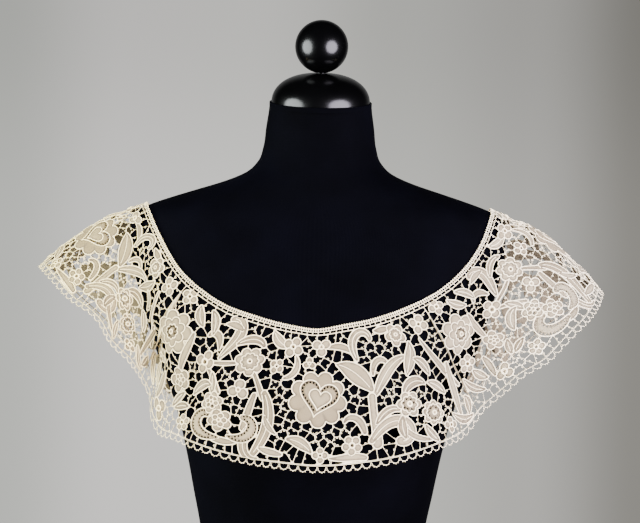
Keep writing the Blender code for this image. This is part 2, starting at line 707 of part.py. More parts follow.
def ribbon(name, sections, closed, material, collection):
    """Wall swept through four-cornered sections, capped unless it is closed."""
    count = len(sections)
    corners = sections.shape[1]
    points = sections.reshape(-1, 3)
    faces = []
    for i in range(count if closed else count - 1):
        a, b = i * corners, ((i + 1) % count) * corners
        for j in range(corners):
            k = (j + 1) % corners
            faces.append((a + j, a + k, b + k, b + j))
    if not closed:
        faces.append(tuple(range(corners)))
        last = (count - 1) * corners
        faces.append(tuple(last + j for j in reversed(range(corners))))
    return add_mesh(name, points * MM, faces, material, collection)


def neck_band(material, collection):
    """Narrow band on the form at the neck, with close sections on the ridges."""
    near, far = RIDGE_ANGLES
    half = np.concatenate([np.arange(0, near, BAND_STEP), np.arange(near, far, RIDGE_STEP),
                           np.arange(far, 180, BAND_STEP)])
    angles = np.concatenate([half, 180 + (180 - half[::-1][:-1])])
    corners = ((0.0, 0.0), (BAND_DEPTH, 0.0), (BAND_DEPTH, BAND_WALL), (0.0, BAND_WALL))
    sections = np.stack([drape(angles, np.full(len(angles), depth), np.full(len(angles), height), BAND_CLEAR)
                         for depth, height in corners], 1)
    ribbon("neck_band", sections, True, material, collection)


def dress_form(material, collection):
    """Torso through sections of the form table, up to the cap's tilted seat."""
    around = np.arange(FORM_AROUND) * 2 * math.pi / FORM_AROUND
    c, s = np.cos(around), np.sin(around)
    heights = np.r_[np.arange(0, WAIST_TOP, WAIST_STEP), FORM_COLUMNS[0][FORM_COLUMNS[0] > WAIST_TOP]]
    rings = []
    for height in heights:
        width, front, back, square = (through(FORM_COLUMNS[0], column, np.array(height))
                                      for column in FORM_COLUMNS[1:])
        x = width * np.sign(c) * np.abs(c)**(2 / square)
        y = np.where(s < 0, front, back) * np.sign(s) * np.abs(s)**(2 / square)
        z = np.full(FORM_AROUND, height)
        if height == heights[-1]:
            z = CAP_SEAT - SEAT_GAP + y * math.tan(CAP_TILT)
        rings.append(np.stack([x, y, z], -1))
    ribbon("form_torso", np.array(rings), False, material, collection)


def turned(name, profile, steps, parent, material, collection):
    """Solid of revolution from a profile that runs from top to bottom."""
    mesh = bpy.data.meshes.new(name)
    edges = [(i, i + 1) for i in range(len(profile) - 1)]
    mesh.from_pydata([(x * MM, 0, z * MM) for x, z in profile], edges, [])
    mesh.materials.append(material)
    item = bpy.data.objects.new(name, mesh)
    collection.objects.link(item)
    screw = item.modifiers.new("Turn", "SCREW")
    screw.steps = steps
    screw.render_steps = steps
    screw.use_merge_vertices = True
    screw.merge_threshold = 0.00001
    screw.use_smooth_shade = True
    item.parent = parent
    return item


def form_cap(material, collection):
    axis = bpy.data.objects.new("cap_axis", None)
    axis.location = (0, 0, CAP_SEAT * MM)
    axis.rotation_euler = (CAP_TILT, 0, 0)
    collection.objects.link(axis)
    dome = [(CAP_RADIUS * math.cos(a), CAP_RIM + CAP_DOME * math.sin(a))
            for a in (math.radians(90 - 15 * i) for i in range(7))]
    dome = [(0.0, dome[0][1])] + dome[1:]
    turned("neck_cap", dome + [(CAP_RADIUS - 0.8, 0.0), (0.0, 0.0)], 24, axis, material, collection)
    start = math.degrees(math.asin(DOWEL_RADIUS / BALL_RADIUS))
    ball = [(BALL_RADIUS * math.sin(math.radians(a)), BALL_CENTRE + BALL_RADIUS * math.cos(math.radians(a)))
            for a in np.linspace(0, 180 - start, 10)]
    ball = [(0.0, ball[0][1])] + ball[1:]
    foot = CAP_RIM + CAP_DOME + SEAT_GAP
    turned("ball_finial", ball + [(DOWEL_RADIUS, foot), (0.0, foot)], 18, axis, material, collection)


def build():
    clear_scene()
    collection = bpy.data.collections.new("bertha_collar_on_dress_form")
    bpy.context.scene.collection.children.link(collection)
    jersey = finish("navy_jersey", (0.006, 0.008, 0.018), 0.8, 0.1)
    lacquer = finish("black_lacquer", (0.004, 0.004, 0.004), 0.12)
    cotton = finish("cream_cotton", (0.80, 0.72, 0.58), 0.8, 0.3)
    braid = finish("cotton_braid", (0.84, 0.77, 0.62), 0.75, 0.3)
    dress_form(jersey, collection)
    form_cap(lacquer, collection)
    neck_band(braid, collection)
    motifs = motifs_of_piece()
    border = piece_border()
    gaps = [gap for gap in net_gaps(motifs, border) if gap_span(gap) >= SMALLEST_GAP]
    gaps.sort(key=gap_area, reverse=True)
    lace = flat_wall(border, gaps[:GAPS_A_PIECE], motifs)
    edging = flat_wall(edging_border(), [], [])
    for piece in PIECES:
        drape_wall(piece.name, piece, lace, cotton, collection)
        drape_wall(piece.edging, piece, edging, braid, collection)


build()
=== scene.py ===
import math
from collections import namedtuple

import bpy
import numpy as np
from mathutils import Matrix, Vector, kdtree
from mathutils.geometry import delaunay_2d_cdt


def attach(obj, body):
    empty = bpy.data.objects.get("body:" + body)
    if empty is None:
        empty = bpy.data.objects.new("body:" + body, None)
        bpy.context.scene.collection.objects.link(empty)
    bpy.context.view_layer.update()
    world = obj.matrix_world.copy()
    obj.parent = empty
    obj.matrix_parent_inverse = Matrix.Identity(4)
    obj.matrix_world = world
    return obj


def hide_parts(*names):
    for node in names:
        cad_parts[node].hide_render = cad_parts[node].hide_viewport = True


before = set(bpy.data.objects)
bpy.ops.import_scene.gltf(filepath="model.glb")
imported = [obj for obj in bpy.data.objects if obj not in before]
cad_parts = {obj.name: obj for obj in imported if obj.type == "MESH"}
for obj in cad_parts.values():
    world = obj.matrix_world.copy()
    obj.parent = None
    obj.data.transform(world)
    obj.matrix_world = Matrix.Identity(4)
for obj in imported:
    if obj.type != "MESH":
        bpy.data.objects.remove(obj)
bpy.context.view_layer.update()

# A needle lace bertha collar on a dress form. The collar is drawn in its flat cut,
# in millimetres, by an angle (0 at the centre front, growing to the viewer's right)
# and a depth (0 at the neck), and onCollar() lays that cut over the form.

mm = 0.001


# Dress form surface, the same as the solid's

# height, half width, depth in front and behind, squareness
formRows = [
    (0, 160, 98, 120, 2.2), (45, 163, 100, 131, 2.2), (95, 143, 97, 116, 2.2), (130, 119, 92, 94, 2.1),
    (160, 108, 89, 81, 2.1), (195, 112, 95, 80, 2.1), (230, 119, 107, 84, 2.15),
    (265, 126, 121, 89, 2.2), (295, 133, 129, 94, 2.25), (320, 140, 131, 98, 2.3),
    (350, 152, 126, 102, 2.35), (385, 164, 114, 105, 2.4), (420, 175, 100, 105, 2.45),
    (450, 183, 88, 101, 2.5), (475, 187, 78, 95, 2.5), (495, 187, 70, 89, 2.4), (505, 184, 67, 86, 2.3),
    (511, 178, 65, 83, 2.2), (517, 165, 63, 80, 2.1), (524, 145, 61, 77, 2.05), (532, 120, 59, 73, 2.0),
    (540, 95, 57, 69, 2.0), (549, 74, 55, 64, 2.0), (560, 62, 53, 59, 2.0), (575, 56.5, 51, 55, 2.0),
    (595, 54, 50, 52, 2.0), (612, 51.5, 49, 49.5, 2.0),
]
formColumns = np.array(formRows, float).T


def through(heights, values, height):
    # smooth curve through a column of the form table, flat at its peaks
    steps = np.diff(heights)
    slopes = np.diff(values) / steps
    tangents = np.empty_like(values)
    tangents[0] = slopes[0]
    tangents[-1] = slopes[-1]
    tangents[1:-1] = (slopes[:-1] * steps[1:] + slopes[1:] * steps[:-1]) / (steps[1:] + steps[:-1])
    tangents[1:-1][slopes[:-1] * slopes[1:] <= 0] = 0
    height = np.clip(height, heights[0], heights[-1])
    row = np.clip(np.searchsorted(heights, height) - 1, 0, len(heights) - 2)
    t = (height - heights[row]) / steps[row]
    return ((2 * t**3 - 3 * t**2 + 1) * values[row]
            + (t**3 - 2 * t**2 + t) * steps[row] * tangents[row]
            + (-2 * t**3 + 3 * t**2) * values[row + 1]
            + (t**3 - t**2) * steps[row] * tangents[row + 1])


def formSection(height):
    return [through(formColumns[0], column, height) for column in formColumns[1:]]


def formExcess(points):
    # how far outside the form a point is, as a share of the section's size
    width, front, back, square = formSection(points[..., 2])
    depth = np.where(points[..., 1] < 0, front, back)
    return ((np.abs(points[..., 0]) / width)**square
            + (np.abs(points[..., 1]) / depth)**square)**(1 / square) - 1


def formDistance(points, probe=0.5):
    slope = np.stack([(formExcess(points + axis * probe) - formExcess(points - axis * probe)) / (2 * probe)
                      for axis in np.eye(3)], -1)
    steep = np.linalg.norm(slope, axis=-1) + 1e-9
    return formExcess(points) / steep, slope / steep[..., None]


def keepClear(points, gap, rounds=12, longest=15.0, share=0.9):
    for _ in range(rounds):
        distance, away = formDistance(points)
        short = np.clip(gap - distance, 0, longest)
        points = points + (share * short)[..., None] * away
    return points


# Drape: where the neck edge, the middle and the hem lie, at each angle of the cut

drapeRows = [
    (-179, (-2, 106, 415), (-2, 108, 343), (-2, 111, 272)),
    (-167, (-38, 105, 418), (-51, 107, 347), (-59, 110, 277)),
    (-155, (-74, 101, 425), (-98, 100, 360), (-113, 99, 290)),
    (-143, (-103, 94, 437), (-136, 87, 381), (-154, 80, 316)),
    (-134, (-125, 85, 451), (-163, 74, 403), (-177, 82, 348)),
    (-126, (-142, 74, 468), (-184, 63, 427), (-203, 92, 374)),
    (-118, (-154, 62, 484), (-201, 54, 449), (-232, 90, 400)),
    (-111, (-164, 47, 500), (-215, 42, 468), (-258, 74, 422)),
    (-105, (-170, 26, 513), (-224, 26, 484), (-274, 48, 440)),
    (-98, (-171, 0, 517), (-227, 8, 492), (-281, 18, 449)),
    (-90, (-165, -33, 507), (-220, -14, 483), (-273, -16, 443)),
    (-80, (-157, -49, 490), (-203, -34, 459), (-247, -54, 421)),
    (-69, (-147, -60, 472), (-184, -46, 432), (-212, -80, 394)),
    (-59, (-135, -70, 454), (-166, -50, 407), (-190, -74, 362)),
    (-51, (-122, -78, 441), (-152, -55, 388), (-171, -57, 342)),
    (-45, (-109, -85, 431), (-140, -64, 374), (-160, -51, 315)),
    (-39, (-95, -91, 422), (-127, -80, 360), (-153, -64, 289)),
    (-33, (-80, -97, 415), (-112, -95, 349), (-138, -84, 285)),
    (-25, (-61, -103, 409), (-90, -108, 341), (-110, -110, 276)),
    (-17, (-40, -107, 403), (-59, -118, 334), (-73, -124, 267)),
    (-8, (-18, -111, 399), (-28, -125, 331), (-35, -131, 262)),
    (0, (2, -112, 397), (3, -128, 330), (4, -134, 259)),
    (9, (27, -110, 402), (37, -126, 332), (45, -131, 263)),
    (18, (50, -107, 407), (71, -118, 338), (88, -121, 271)),
    (27, (71, -100, 413), (100, -105, 347), (125, -99, 283)),
    (34, (86, -95, 419), (118, -92, 356), (147, -78, 293)),
    (41, (103, -88, 427), (136, -76, 370), (167, -67, 318)),
    (50, (121, -79, 438), (158, -63, 390), (199, -79, 346)),
    (58, (137, -69, 452), (181, -56, 408), (229, -80, 369)),
    (67, (150, -60, 467), (204, -47, 434), (261, -57, 397)),
    (76, (161, -48, 486), (221, -30, 459), (281, -27, 419)),
    (85, (168, -33, 506), (229, -6, 482), (286, 5, 431)),
    (94, (171, 0, 517), (230, 20, 488), (284, 38, 431)),
    (101, (170, 26, 513), (229, 38, 478), (277, 66, 420)),
    (107, (164, 47, 500), (221, 51, 463), (262, 86, 406)),
    (114, (154, 62, 484), (206, 60, 446), (238, 98, 388)),
    (122, (142, 74, 468), (188, 67, 426), (211, 98, 366)),
    (131, (125, 85, 451), (166, 76, 403), (184, 88, 343)),
    (141, (103, 94, 437), (137, 87, 381), (157, 84, 315)),
    (153, (74, 101, 425), (98, 100, 360), (114, 100, 290)),
    (166, (38, 105, 418), (51, 107, 347), (59, 110, 277)),
]
drapeAngles = np.array([row[0] for row in drapeRows], float)
drapePoints = np.array([sum(row[1:], ()) for row in drapeRows], float)

cut = {
    "fan": 0.7135,  # real degrees of the flat sector for each degree of the wearer's turn
    "neckRadius": 236.0,
    "depth": 142.0,
    "bandDepth": 7.0,
    "edgeLine": 133.0,
    "seamAngle": 39.3,
    "pieceHalf": 45.0,
    "clear": 1.9,
    "settleFull": 8.0,
    "settleEnd": 45.0,
    "angleStep": 0.75,
    "depthStep": 2.0,
    "firstDepth": -6.0,
    "lastDepth": 148.0,
    "creaseFade": 50.0,
}


def drapedRows(angle):
    angles = np.r_[drapeAngles[-2:] - 360, drapeAngles, drapeAngles[:2] + 360]
    points = np.r_[drapePoints[-2:], drapePoints, drapePoints[:2]]
    angle = (np.asarray(angle, float) + 180) % 360 - 180
    row = np.clip(np.searchsorted(angles, angle, side="right") - 1, 1, len(angles) - 3)
    step = (angles[row + 1] - angles[row])[..., None]
    t = (angle - angles[row])[..., None] / step
    before = (points[row + 1] - points[row - 1]) / (angles[row + 1] - angles[row - 1])[..., None] * step
    after = (points[row + 2] - points[row]) / (angles[row + 2] - angles[row])[..., None] * step
    return ((2 * t**3 - 3 * t**2 + 1) * points[row] + (t**3 - 2 * t**2 + t) * before
            + (-2 * t**3 + 3 * t**2) * points[row + 1] + (t**3 - t**2) * after)


def collarPoint(angle, depth):
    rows = drapedRows(angle)
    u = (depth / cut["depth"])[..., None]
    points = (rows[..., 0:3] * (1 - u) * (1 - 2 * u) + rows[..., 3:6] * 4 * u * (1 - u)
              + rows[..., 6:9] * u * (2 * u - 1))
    gap = cut["clear"]
    points = keepClear(points, gap)
    distance, away = formDistance(points)
    free = np.clip((depth - cut["settleFull"]) / (cut["settleEnd"] - cut["settleFull"]), 0, 1)
    settle = 1 - free * free * (3 - 2 * free)
    return keepClear(points + ((gap - distance) * settle)[..., None] * away, gap, 4)


# soft troughs and ridges, uneven: angle, lean, width, depth at the start, rise
creaseRows = [
    (-40, -3, 2.6, 30, 3.5), (-46, -4, 2.2, 42, -3.0), (-52, -6, 2.8, 25, 3.8), (-60, -5, 3.2, 50, -2.6),
    (-70, -3, 4.0, 60, 2.4), (-84, 4, 5.0, 70, -2.2), (38, 4, 2.6, 55, -2.4), (45, 6, 2.8, 40, 3.4),
    (53, 5, 3.0, 45, -3.0), (62, 4, 3.4, 60, 2.6), (74, 2, 4.4, 70, -2.4), (88, -3, 5.0, 80, 2.2),
    (-22, -2, 4.0, 75, 1.4), (14, 2, 4.5, 80, 1.2), (112, -3, 4.0, 60, 2.4), (128, -3, 3.6, 50, -2.4),
    (150, 2, 5.0, 70, 1.6), (-114, 4, 4.2, 55, 2.5), (-131, 3, 3.6, 48, -2.6), (-158, -2, 5.0, 75, 1.7),
]


def creases(angle, depth):
    rise = np.zeros_like(depth)
    for place, lean, width, start, most in creaseRows:
        away = (angle - place - lean * depth / cut["depth"] + 180) % 360 - 180
        fade = np.clip((depth - start) / cut["creaseFade"], 0, 1)
        rise += most * fade * fade * (3 - 2 * fade) * np.exp(-(away / width)**2)
    return rise


def normalsOf(points):
    across = np.roll(points, -1, 0) - np.roll(points, 1, 0)
    normals = np.cross(np.gradient(points, axis=1), across)
    return normals / np.linalg.norm(normals, axis=-1, keepdims=True)


def drapeGrid():
    # the drape worked out once on an even grid of angles and depths
    angles = np.arange(-180, 180, cut["angleStep"])
    depths = np.arange(cut["firstDepth"], cut["lastDepth"] + 0.1, cut["depthStep"])
    a, d = np.meshgrid(angles, depths, indexing="ij")
    points = collarPoint(a, d)
    points = keepClear(points + normalsOf(points) * creases(a, d)[..., None], cut["clear"])
    return np.concatenate([points, normalsOf(points)], -1)


surface = drapeGrid()
print("drape grid", surface.shape)


def curveWeights(f):
    return np.stack([-f / 2 + f**2 - f**3 / 2, 1 - 2.5 * f**2 + 1.5 * f**3,
                     f / 2 + 2 * f**2 - 1.5 * f**3, (f**3 - f**2) / 2], -1)


def onCollar(angle, depth, height):
    # places and outward normals for angles, depths and heights above the inner side
    angle, depth, height = np.broadcast_arrays(angle, depth, height)
    u = ((angle + 180) % 360) / cut["angleStep"]
    v = (depth - cut["firstDepth"]) / cut["depthStep"]
    i, j = np.floor(u).astype(int), np.clip(np.floor(v).astype(int), 0, surface.shape[1] - 2)
    alongU, alongV = curveWeights(u - i), curveWeights(v - j)
    found = np.zeros((*u.shape, 6))
    for a in range(4):
        for b in range(4):
            column = np.clip(j + b - 1, 0, surface.shape[1] - 1)
            share = (alongU[..., a] * alongV[..., b])[..., None]
            found += share * surface[(i + a - 1) % surface.shape[0], column]
    normal = found[..., 3:] / np.linalg.norm(found[..., 3:], axis=-1, keepdims=True)
    return found[..., :3] + normal * height[..., None], normal


def flat(angle, depth):
    # place in the flat cut of a quarter, for an angle counted from its middle
    a = np.radians(np.asarray(angle, float) * cut["fan"])
    radius = cut["neckRadius"] + np.asarray(depth, float)
    return np.stack([radius * np.sin(a), -radius * np.cos(a)], -1)


def unflat(points):
    angle = np.degrees(np.arctan2(points[..., 0], -points[..., 1])) / cut["fan"]
    return angle, np.hypot(points[..., 0], points[..., 1]) - cut["neckRadius"]


def draped(middle, points, height):
    angle, depth = unflat(points)
    return onCollar(middle + angle, depth, height)


# Design: one quarter of the collar, angles from -45 to 45, repeated four times

bloomRow = namedtuple("bloomRow", "angle depth radius petals turn")
bloomRows = [bloomRow(*row) for row in [
    (0, 71, 25, 9, 10), (-8, 22, 10, 4, 20), (1, 20, 9, 3, 90), (-19.5, 43, 12.5, 7, 0),
    (-32, 55, 10, 4, 45), (-20, 70, 9, 3, 30), (-25.5, 89, 10.5, 6, 0), (-22.5, 104, 10.5, 5, 20),
    (0.5, 124, 7, 4, 45), (7.5, 116, 9, 5, 10), (25, 21, 10.5, 5, 0), (22, 87, 12, 6, 15),
    (27.5, 103, 11.5, 8, 0), (34.5, 20, 9, 4, 10), (43, 13, 8, 4, 40), (45, 50, 20, 7, 0),
    (-40.5, 121, 9, 3, 0), (-37.5, 84, 11, 5, 30), (43, 84, 9, 5, 20), (-11.8, 43, 7, 4, 15),
    (-31.5, 119, 8, 5, 0), (31, 121, 7.5, 4, 30), (-2.5, 37, 6, 3, 30),
]]

# root's place and heading (0 to the right, 90 to the neck), then length, the turn
# in each half, and the width at root, middle and tip
leafRow = namedtuple("leafRow", "angle depth heading length turnA turnB root middle tip beaded",
                     defaults=(False,))
leafRows = [leafRow(*row) for row in [
    (-28, 47, 72, 50, 15, 120, 3, 10, 5), (-24.5, 30, 45, 27, -25, -70, 3, 7, 4),
    (-29.5, 40, 115, 26, 30, 110, 2, 6, 3), (-29.5, 53, 10, 24, 5, 10, 3, 3.5, 3),
    (-30, 60, -25, 27, -15, -5, 3, 4, 3), (-17.5, 53, -50, 25, -5, 5, 3, 4, 5),
    (-13.5, 69, -50, 64, -45, -25, 5, 10, 6), (-16, 72, -100, 34, 0, 5, 4, 6, 6),
    (-15, 99, 238, 48, 40, 105, 6, 8, 4), (-24, 122, -15, 26, 20, 10, 2, 6, 2),
    (-7.5, 126, 175, 24, -5, -10, 3, 6, 2), (-6.5, 31, -60, 28, -50, -60, 2, 5, 3),
    (-10.5, 22, 165, 21, -25, -25, 5, 9, 1.5), (3.5, 21, 15, 24, -35, -25, 3, 6, 2),
    (11, 36, 105, 44, -50, -150, 3, 7, 4), (13.3, 65, 118, 40, 15, 25, 5, 15, 2),
    (14.5, 52, 80, 26, -45, -120, 2.5, 5, 3), (14.2, 70, 55, 48, -12, -35, 4, 9, 4),
    (13.2, 72, 263, 46, 8, -8, 6, 6, 8), (10.6, 105, 100, 30, 35, 110, 4, 6, 3),
    (13.5, 98, 50, 27, -20, -65, 3, 7, 4), (11.8, 114, 48, 66, -60, -190, 5, 10, 8),
    (19.3, 108, -68, 34, 35, 25, 4, 5, 2), (2.5, 127, -5, 34, 8, -15, 2, 6, 5),
    (28.2, 32, -97, 32, -30, 5, 3, 10, 2), (32.5, 33, -80, 64, 12, 0, 2, 5, 3),
    (37, 66, -92, 58, -10, 8, 3, 6, 2), (19.5, 98, 240, 20, 25, 15, 4, 8, 3),
    (24.5, 113, -80, 19, 15, 10, 3, 7, 3), (21.5, 76, 65, 30, -55, -55, 4, 9, 3),
    (-26.5, 79, 100, 18, 10, 10, 4, 7, 3), (-22, 121, 192, 48, -60, -150, 3, 10, 6, True),
    (-20, 117, -8, 44, 70, 135, 3, 10, 6, True), (-36.5, 108, 75, 17, -10, -10, 3, 7, 3),
    (-35.5, 109, 40, 17, -15, -15, 3, 7, 3), (-34, 30, 100, 22, 20, 30, 2, 7, 3),
    (-39, 40, -80, 36, -10, 10, 3, 6, 3), (-42.5, 92, -80, 24, -10, -10, 3, 6, 3),
    (-31.5, 16, 20, 20, -20, -20, 2, 6, 3), (18.5, 12, -10, 17, 10, 10, 2, 6, 2),
    (40, 95, -80, 30, 20, 30, 2, 7, 3), (33, 113, -60, 28, 20, 40, 2, 7, 3),
    (-12.5, 90, -70, 22, 20, 20, 2, 5, 2), (-1.5, 121, 130, 24, 20, 30, 3, 9, 4),
    (33, 90, 110, 22, 20, 20, 3, 8, 3), (-31.5, 88, 80, 24, -30, -60, 3, 9, 3),
    (-42, 14, -70, 20, 20, 30, 2, 8, 3), (30.5, 66, 95, 22, 20, 40, 3, 8, 3),
    (43.5, 94, -75, 20, 10, 20, 2, 8, 3), (38, 108, -80, 18, -20, -30, 2, 8, 3),
]]

# what is sewn on top: smaller flowers, and a heart in the middle of the large one
topRow = namedtuple("topRow", "angle depth radius petals turn layer beaded", defaults=(False,))
topRows = [topRow(*row) for row in [
    (0, 71, 18.5, 0, -14, 1, True), (0.3, 72, 10.5, 0, -14, 2), (-19.5, 43, 7.5, 10, 0, 1),
    (-25.5, 89, 6.5, 6, 30, 1, True), (-22.5, 104, 6.5, 5, 50, 1), (25, 21, 6, 10, 0, 1),
    (22, 87, 8, 8, 0, 1, True), (27.5, 103, 8, 12, 0, 1, True), (45, 50, 13.5, 7, 25, 1),
    (45, 50, 7, 9, 0, 2, True), (-37.5, 84, 6, 5, 60, 1),
]]

pieceRow = namedtuple("pieceRow", "name node edging edgingNode quarter seed")
pieceRows = [
    pieceRow("laceFront", "lace_front", "edgingFront", "hem_front", 0, 11),
    pieceRow("laceShoulderRight", "lace_shoulder_right", "edgingShoulderRight", "hem_shoulder_right", 1, 23),
    pieceRow("laceBack", "lace_back", "edgingBack", "hem_back", 2, 37),
    pieceRow("laceShoulderLeft", "lace_shoulder_left", "edgingShoulderLeft", "hem_shoulder_left", 3, 52),
]

design = {
    "petalPoints": 9,
    "leafStep": 2.4,
    "veinWidth": 8.0,     # leaves this wide have a vein
    "leafFullness": 1.16,
    "bloomFullness": 1.08,
    "petalsApart": 7,     # flowers with fewer petals show each petal's own cord
    "petalSpread": 1.08,
    "reach": 12.0,
}


def middleAngle(piece):
    return cut["seamAngle"] - cut["pieceHalf"] + 90.0 * piece.quarter


def turning(angle):
    # turns rows of points to the left
    c, s = math.cos(angle), math.sin(angle)
    return np.array([[c, s], [-s, c]])


def bloomOutline(radius, petals, turn, perPetal):
    # union of a ring of round petals
    half = math.pi / petals
    around = np.arange(petals * perPetal) * 2 * half / perPetal
    fromMiddle = around % (2 * half) - half
    seat = radius / (1 + design["petalSpread"] * math.sin(half))
    petal = radius - seat
    reach = seat * np.cos(fromMiddle) + np.sqrt(np.maximum(petal**2 - (seat * np.sin(fromMiddle))**2, 0))
    around = around + math.radians(turn)
    return np.stack([np.cos(around), np.sin(around)], -1) * reach[:, None]


def petalArcs(radius, petals, turn):
    # the inner side of each round petal, from one valley to the next
    half = math.pi / petals
    seat = radius / (1 + design["petalSpread"] * math.sin(half))
    petal = radius - seat
    arcs = []
    for k in range(petals):
        swing = np.radians(np.arange(110, 251, 10))
        around = np.stack([seat + petal * np.cos(swing), petal * np.sin(swing)], -1)
        around = around @ turning(math.radians(turn) + (2 * k + 1) * half)
        arcs.append(around[np.hypot(*around.T) > radius * 0.3])
    return [arc for arc in arcs if len(arc) > 2]


def heartOutline(size, turn, count=72):
    t = np.linspace(0, 2 * math.pi, count, endpoint=False)
    x = 16 * np.sin(t)**3
    y = 13 * np.cos(t) - 5 * np.cos(2 * t) - 2 * np.cos(3 * t) - np.cos(4 * t) + 2
    return np.stack([x, y], -1) @ turning(math.radians(turn)) * size / 16


def leafLine(row, steps):
    s = np.linspace(0, 1, steps)
    bend = (3 * row.turnA - row.turnB) * s + 2 * (row.turnB - row.turnA) * s * s
    heading = np.radians(row.heading + bend)
    forward = np.stack([np.cos(heading), np.sin(heading)], -1)
    stride = (forward[1:] + forward[:-1]) / 2 * row.length / (steps - 1)
    line = np.r_[np.zeros((1, 2)), np.cumsum(stride, 0)]
    width = row.root * (1 - s) * (1 - 2 * s) + row.middle * 4 * s * (1 - s) + row.tip * s * (2 * s - 1)
    return line, forward, width / 2 * design["leafFullness"]


def leafOutline(row):
    # tapering sides with a round end at each tip
    line, forward, half = leafLine(row, max(6, round(row.length / design["leafStep"])))
    side = np.stack([-forward[:, 1], forward[:, 0]], -1)
    bend = np.radians(np.arange(-60, 61, 30))[:, None]
    end = line[-1] + half[-1] * (np.cos(bend) * forward[-1] + np.sin(bend) * side[-1])
    start = line[0] - half[0] * (np.cos(bend) * forward[0] + np.sin(bend) * side[0])
    return np.concatenate([start, line - side * half[:, None], end, (line + side * half[:, None])[::-1]])


def placed(angle, depth, outline):
    return flat(angle, depth) + outline @ turning(math.radians(angle * cut["fan"]))


motifShape = namedtuple("motifShape", "outline vein inner centre own row layer tone")


def motifsOfPiece():
    found = []
    for turn in (-90, 0, 90):
        for row in leafRows + bloomRows + topRows:
            angle = row.angle - cut["seamAngle"] + cut["pieceHalf"] + turn
            if abs(angle) > cut["pieceHalf"] + design["reach"]:
                continue
            own = -cut["pieceHalf"] <= angle < cut["pieceHalf"]
            inner, vein = [], None
            if isinstance(row, leafRow):
                outline = leafOutline(row)
                if row.middle * design["leafFullness"] >= design["veinWidth"] and not row.beaded:
                    line = leafLine(row, max(6, round(row.length / 2)))[0]
                    vein = placed(angle, row.depth, line[1:-1])
            elif row.petals:
                radius = row.radius * design["bloomFullness"]
                outline = bloomOutline(radius, row.petals, row.turn, design["petalPoints"])
                if row.petals < design["petalsApart"]:
                    inner = [placed(angle, row.depth, arc) for arc in petalArcs(radius, row.petals, row.turn)]
            else:
                outline = heartOutline(row.radius, row.turn)
            # painted highlight: this tone sets how much the tops of the motif's domes are lightened
            tone = (row.angle * 7.31 + row.depth * 3.17) % 1  # each motif's own, from 0 to 1
            found.append(motifShape(placed(angle, row.depth, outline), vein, inner, flat(angle, row.depth),
                                    own, row, getattr(row, "layer", 0), tone))
    return sorted(found, key=lambda motif: motif.layer)


# Outline helpers

def inside(points, outline):
    x, y = points[:, 0, None], points[:, 1, None]
    ax, ay = outline[:, 0], outline[:, 1]
    bx, by = np.roll(ax, -1), np.roll(ay, -1)
    crosses = (ay > y) != (by > y)
    slope = np.where(by == ay, 1, by - ay)
    return (crosses & (x < (bx - ax) * (y - ay) / slope + ax)).sum(1) % 2 == 1


def boxed(points, outline, grow=0.0):
    return np.nonzero(((points > outline.min(0) - grow) & (points < outline.max(0) + grow)).all(1))[0]


def walk(outline, step, closed=True):
    # points along an outline at even distances
    line = np.r_[outline, outline[:1]] if closed else outline
    lengths = np.r_[0, np.cumsum(np.linalg.norm(np.diff(line, axis=0), axis=1))]
    count = max(2, int(round(lengths[-1] / step)))
    places = np.linspace(0, lengths[-1], count + 1)
    found = np.stack([np.interp(places, lengths, line[:, k]) for k in range(line.shape[1])], -1)
    return found[:-1] if closed else found


def insetLine(outline, step, inset, room):
    # even points along an outline, and the line inside it where that has room
    line = walk(outline, step)
    side = (np.roll(line, -1, axis=0) - np.roll(line, 1, axis=0))[:, ::-1] * [-1, 1]
    side /= np.linalg.norm(side, axis=1, keepdims=True)
    if inside(line + side * 0.05, outline).mean() < 0.5:
        side = -side
    inner = line + side * inset
    return line, inner[nearest(inner, treeOf(line)) > inset * room]


def treeOf(points):
    tree = kdtree.KDTree(len(points))
    for i, point in enumerate(points):
        tree.insert((point[0], point[1], 0), i)
    tree.balance()
    return tree


def nearest(points, tree):
    return np.array([tree.find((x, y, 0))[2] for x, y in points.tolist()]) if len(points) else np.zeros(0)


def spaced(points, apart, taken=None):
    # thins points out so that none is nearer than apart to another
    cells, kept = {}, []
    everything = points if taken is None else np.concatenate([taken, points])
    first = 0 if taken is None else len(taken)
    for i, (x, y) in enumerate(everything.tolist()):
        cx, cy = int(x // apart), int(y // apart)
        if i >= first:
            near = (q for ax in (-1, 0, 1) for ay in (-1, 0, 1) for q in cells.get((cx + ax, cy + ay), ()))
            if any((q[0] - x)**2 + (q[1] - y)**2 < apart * apart for q in near):
                continue
            kept.append(i - first)
        cells.setdefault((cx, cy), []).append((x, y))
    return points[kept]


def gridPoints(step):
    half = math.radians(cut["pieceHalf"] * cut["fan"])
    outer = cut["neckRadius"] + cut["edgeLine"]
    low = np.array([-outer * math.sin(half), -outer])
    high = np.array([outer * math.sin(half), -(cut["neckRadius"] + cut["bandDepth"]) * math.cos(half)])
    rows = []
    for i, y in enumerate(np.arange(low[1], high[1], step * 0.87)):
        x = np.arange(low[0] + step * 0.5 * (i % 2), high[0], step)
        rows.append(np.stack([x, np.full(len(x), y)], -1))
    return np.concatenate(rows)


def inPiece(points, margin):
    angle, depth = unflat(points)
    side = (cut["pieceHalf"] - np.abs(angle)) * math.radians(cut["fan"]) * (cut["neckRadius"] + depth)
    return (side > margin) & (depth > cut["bandDepth"] + margin) & (depth < cut["edgeLine"] - margin)


# Needle net: seeds spread evenly between the motifs, one gap round each

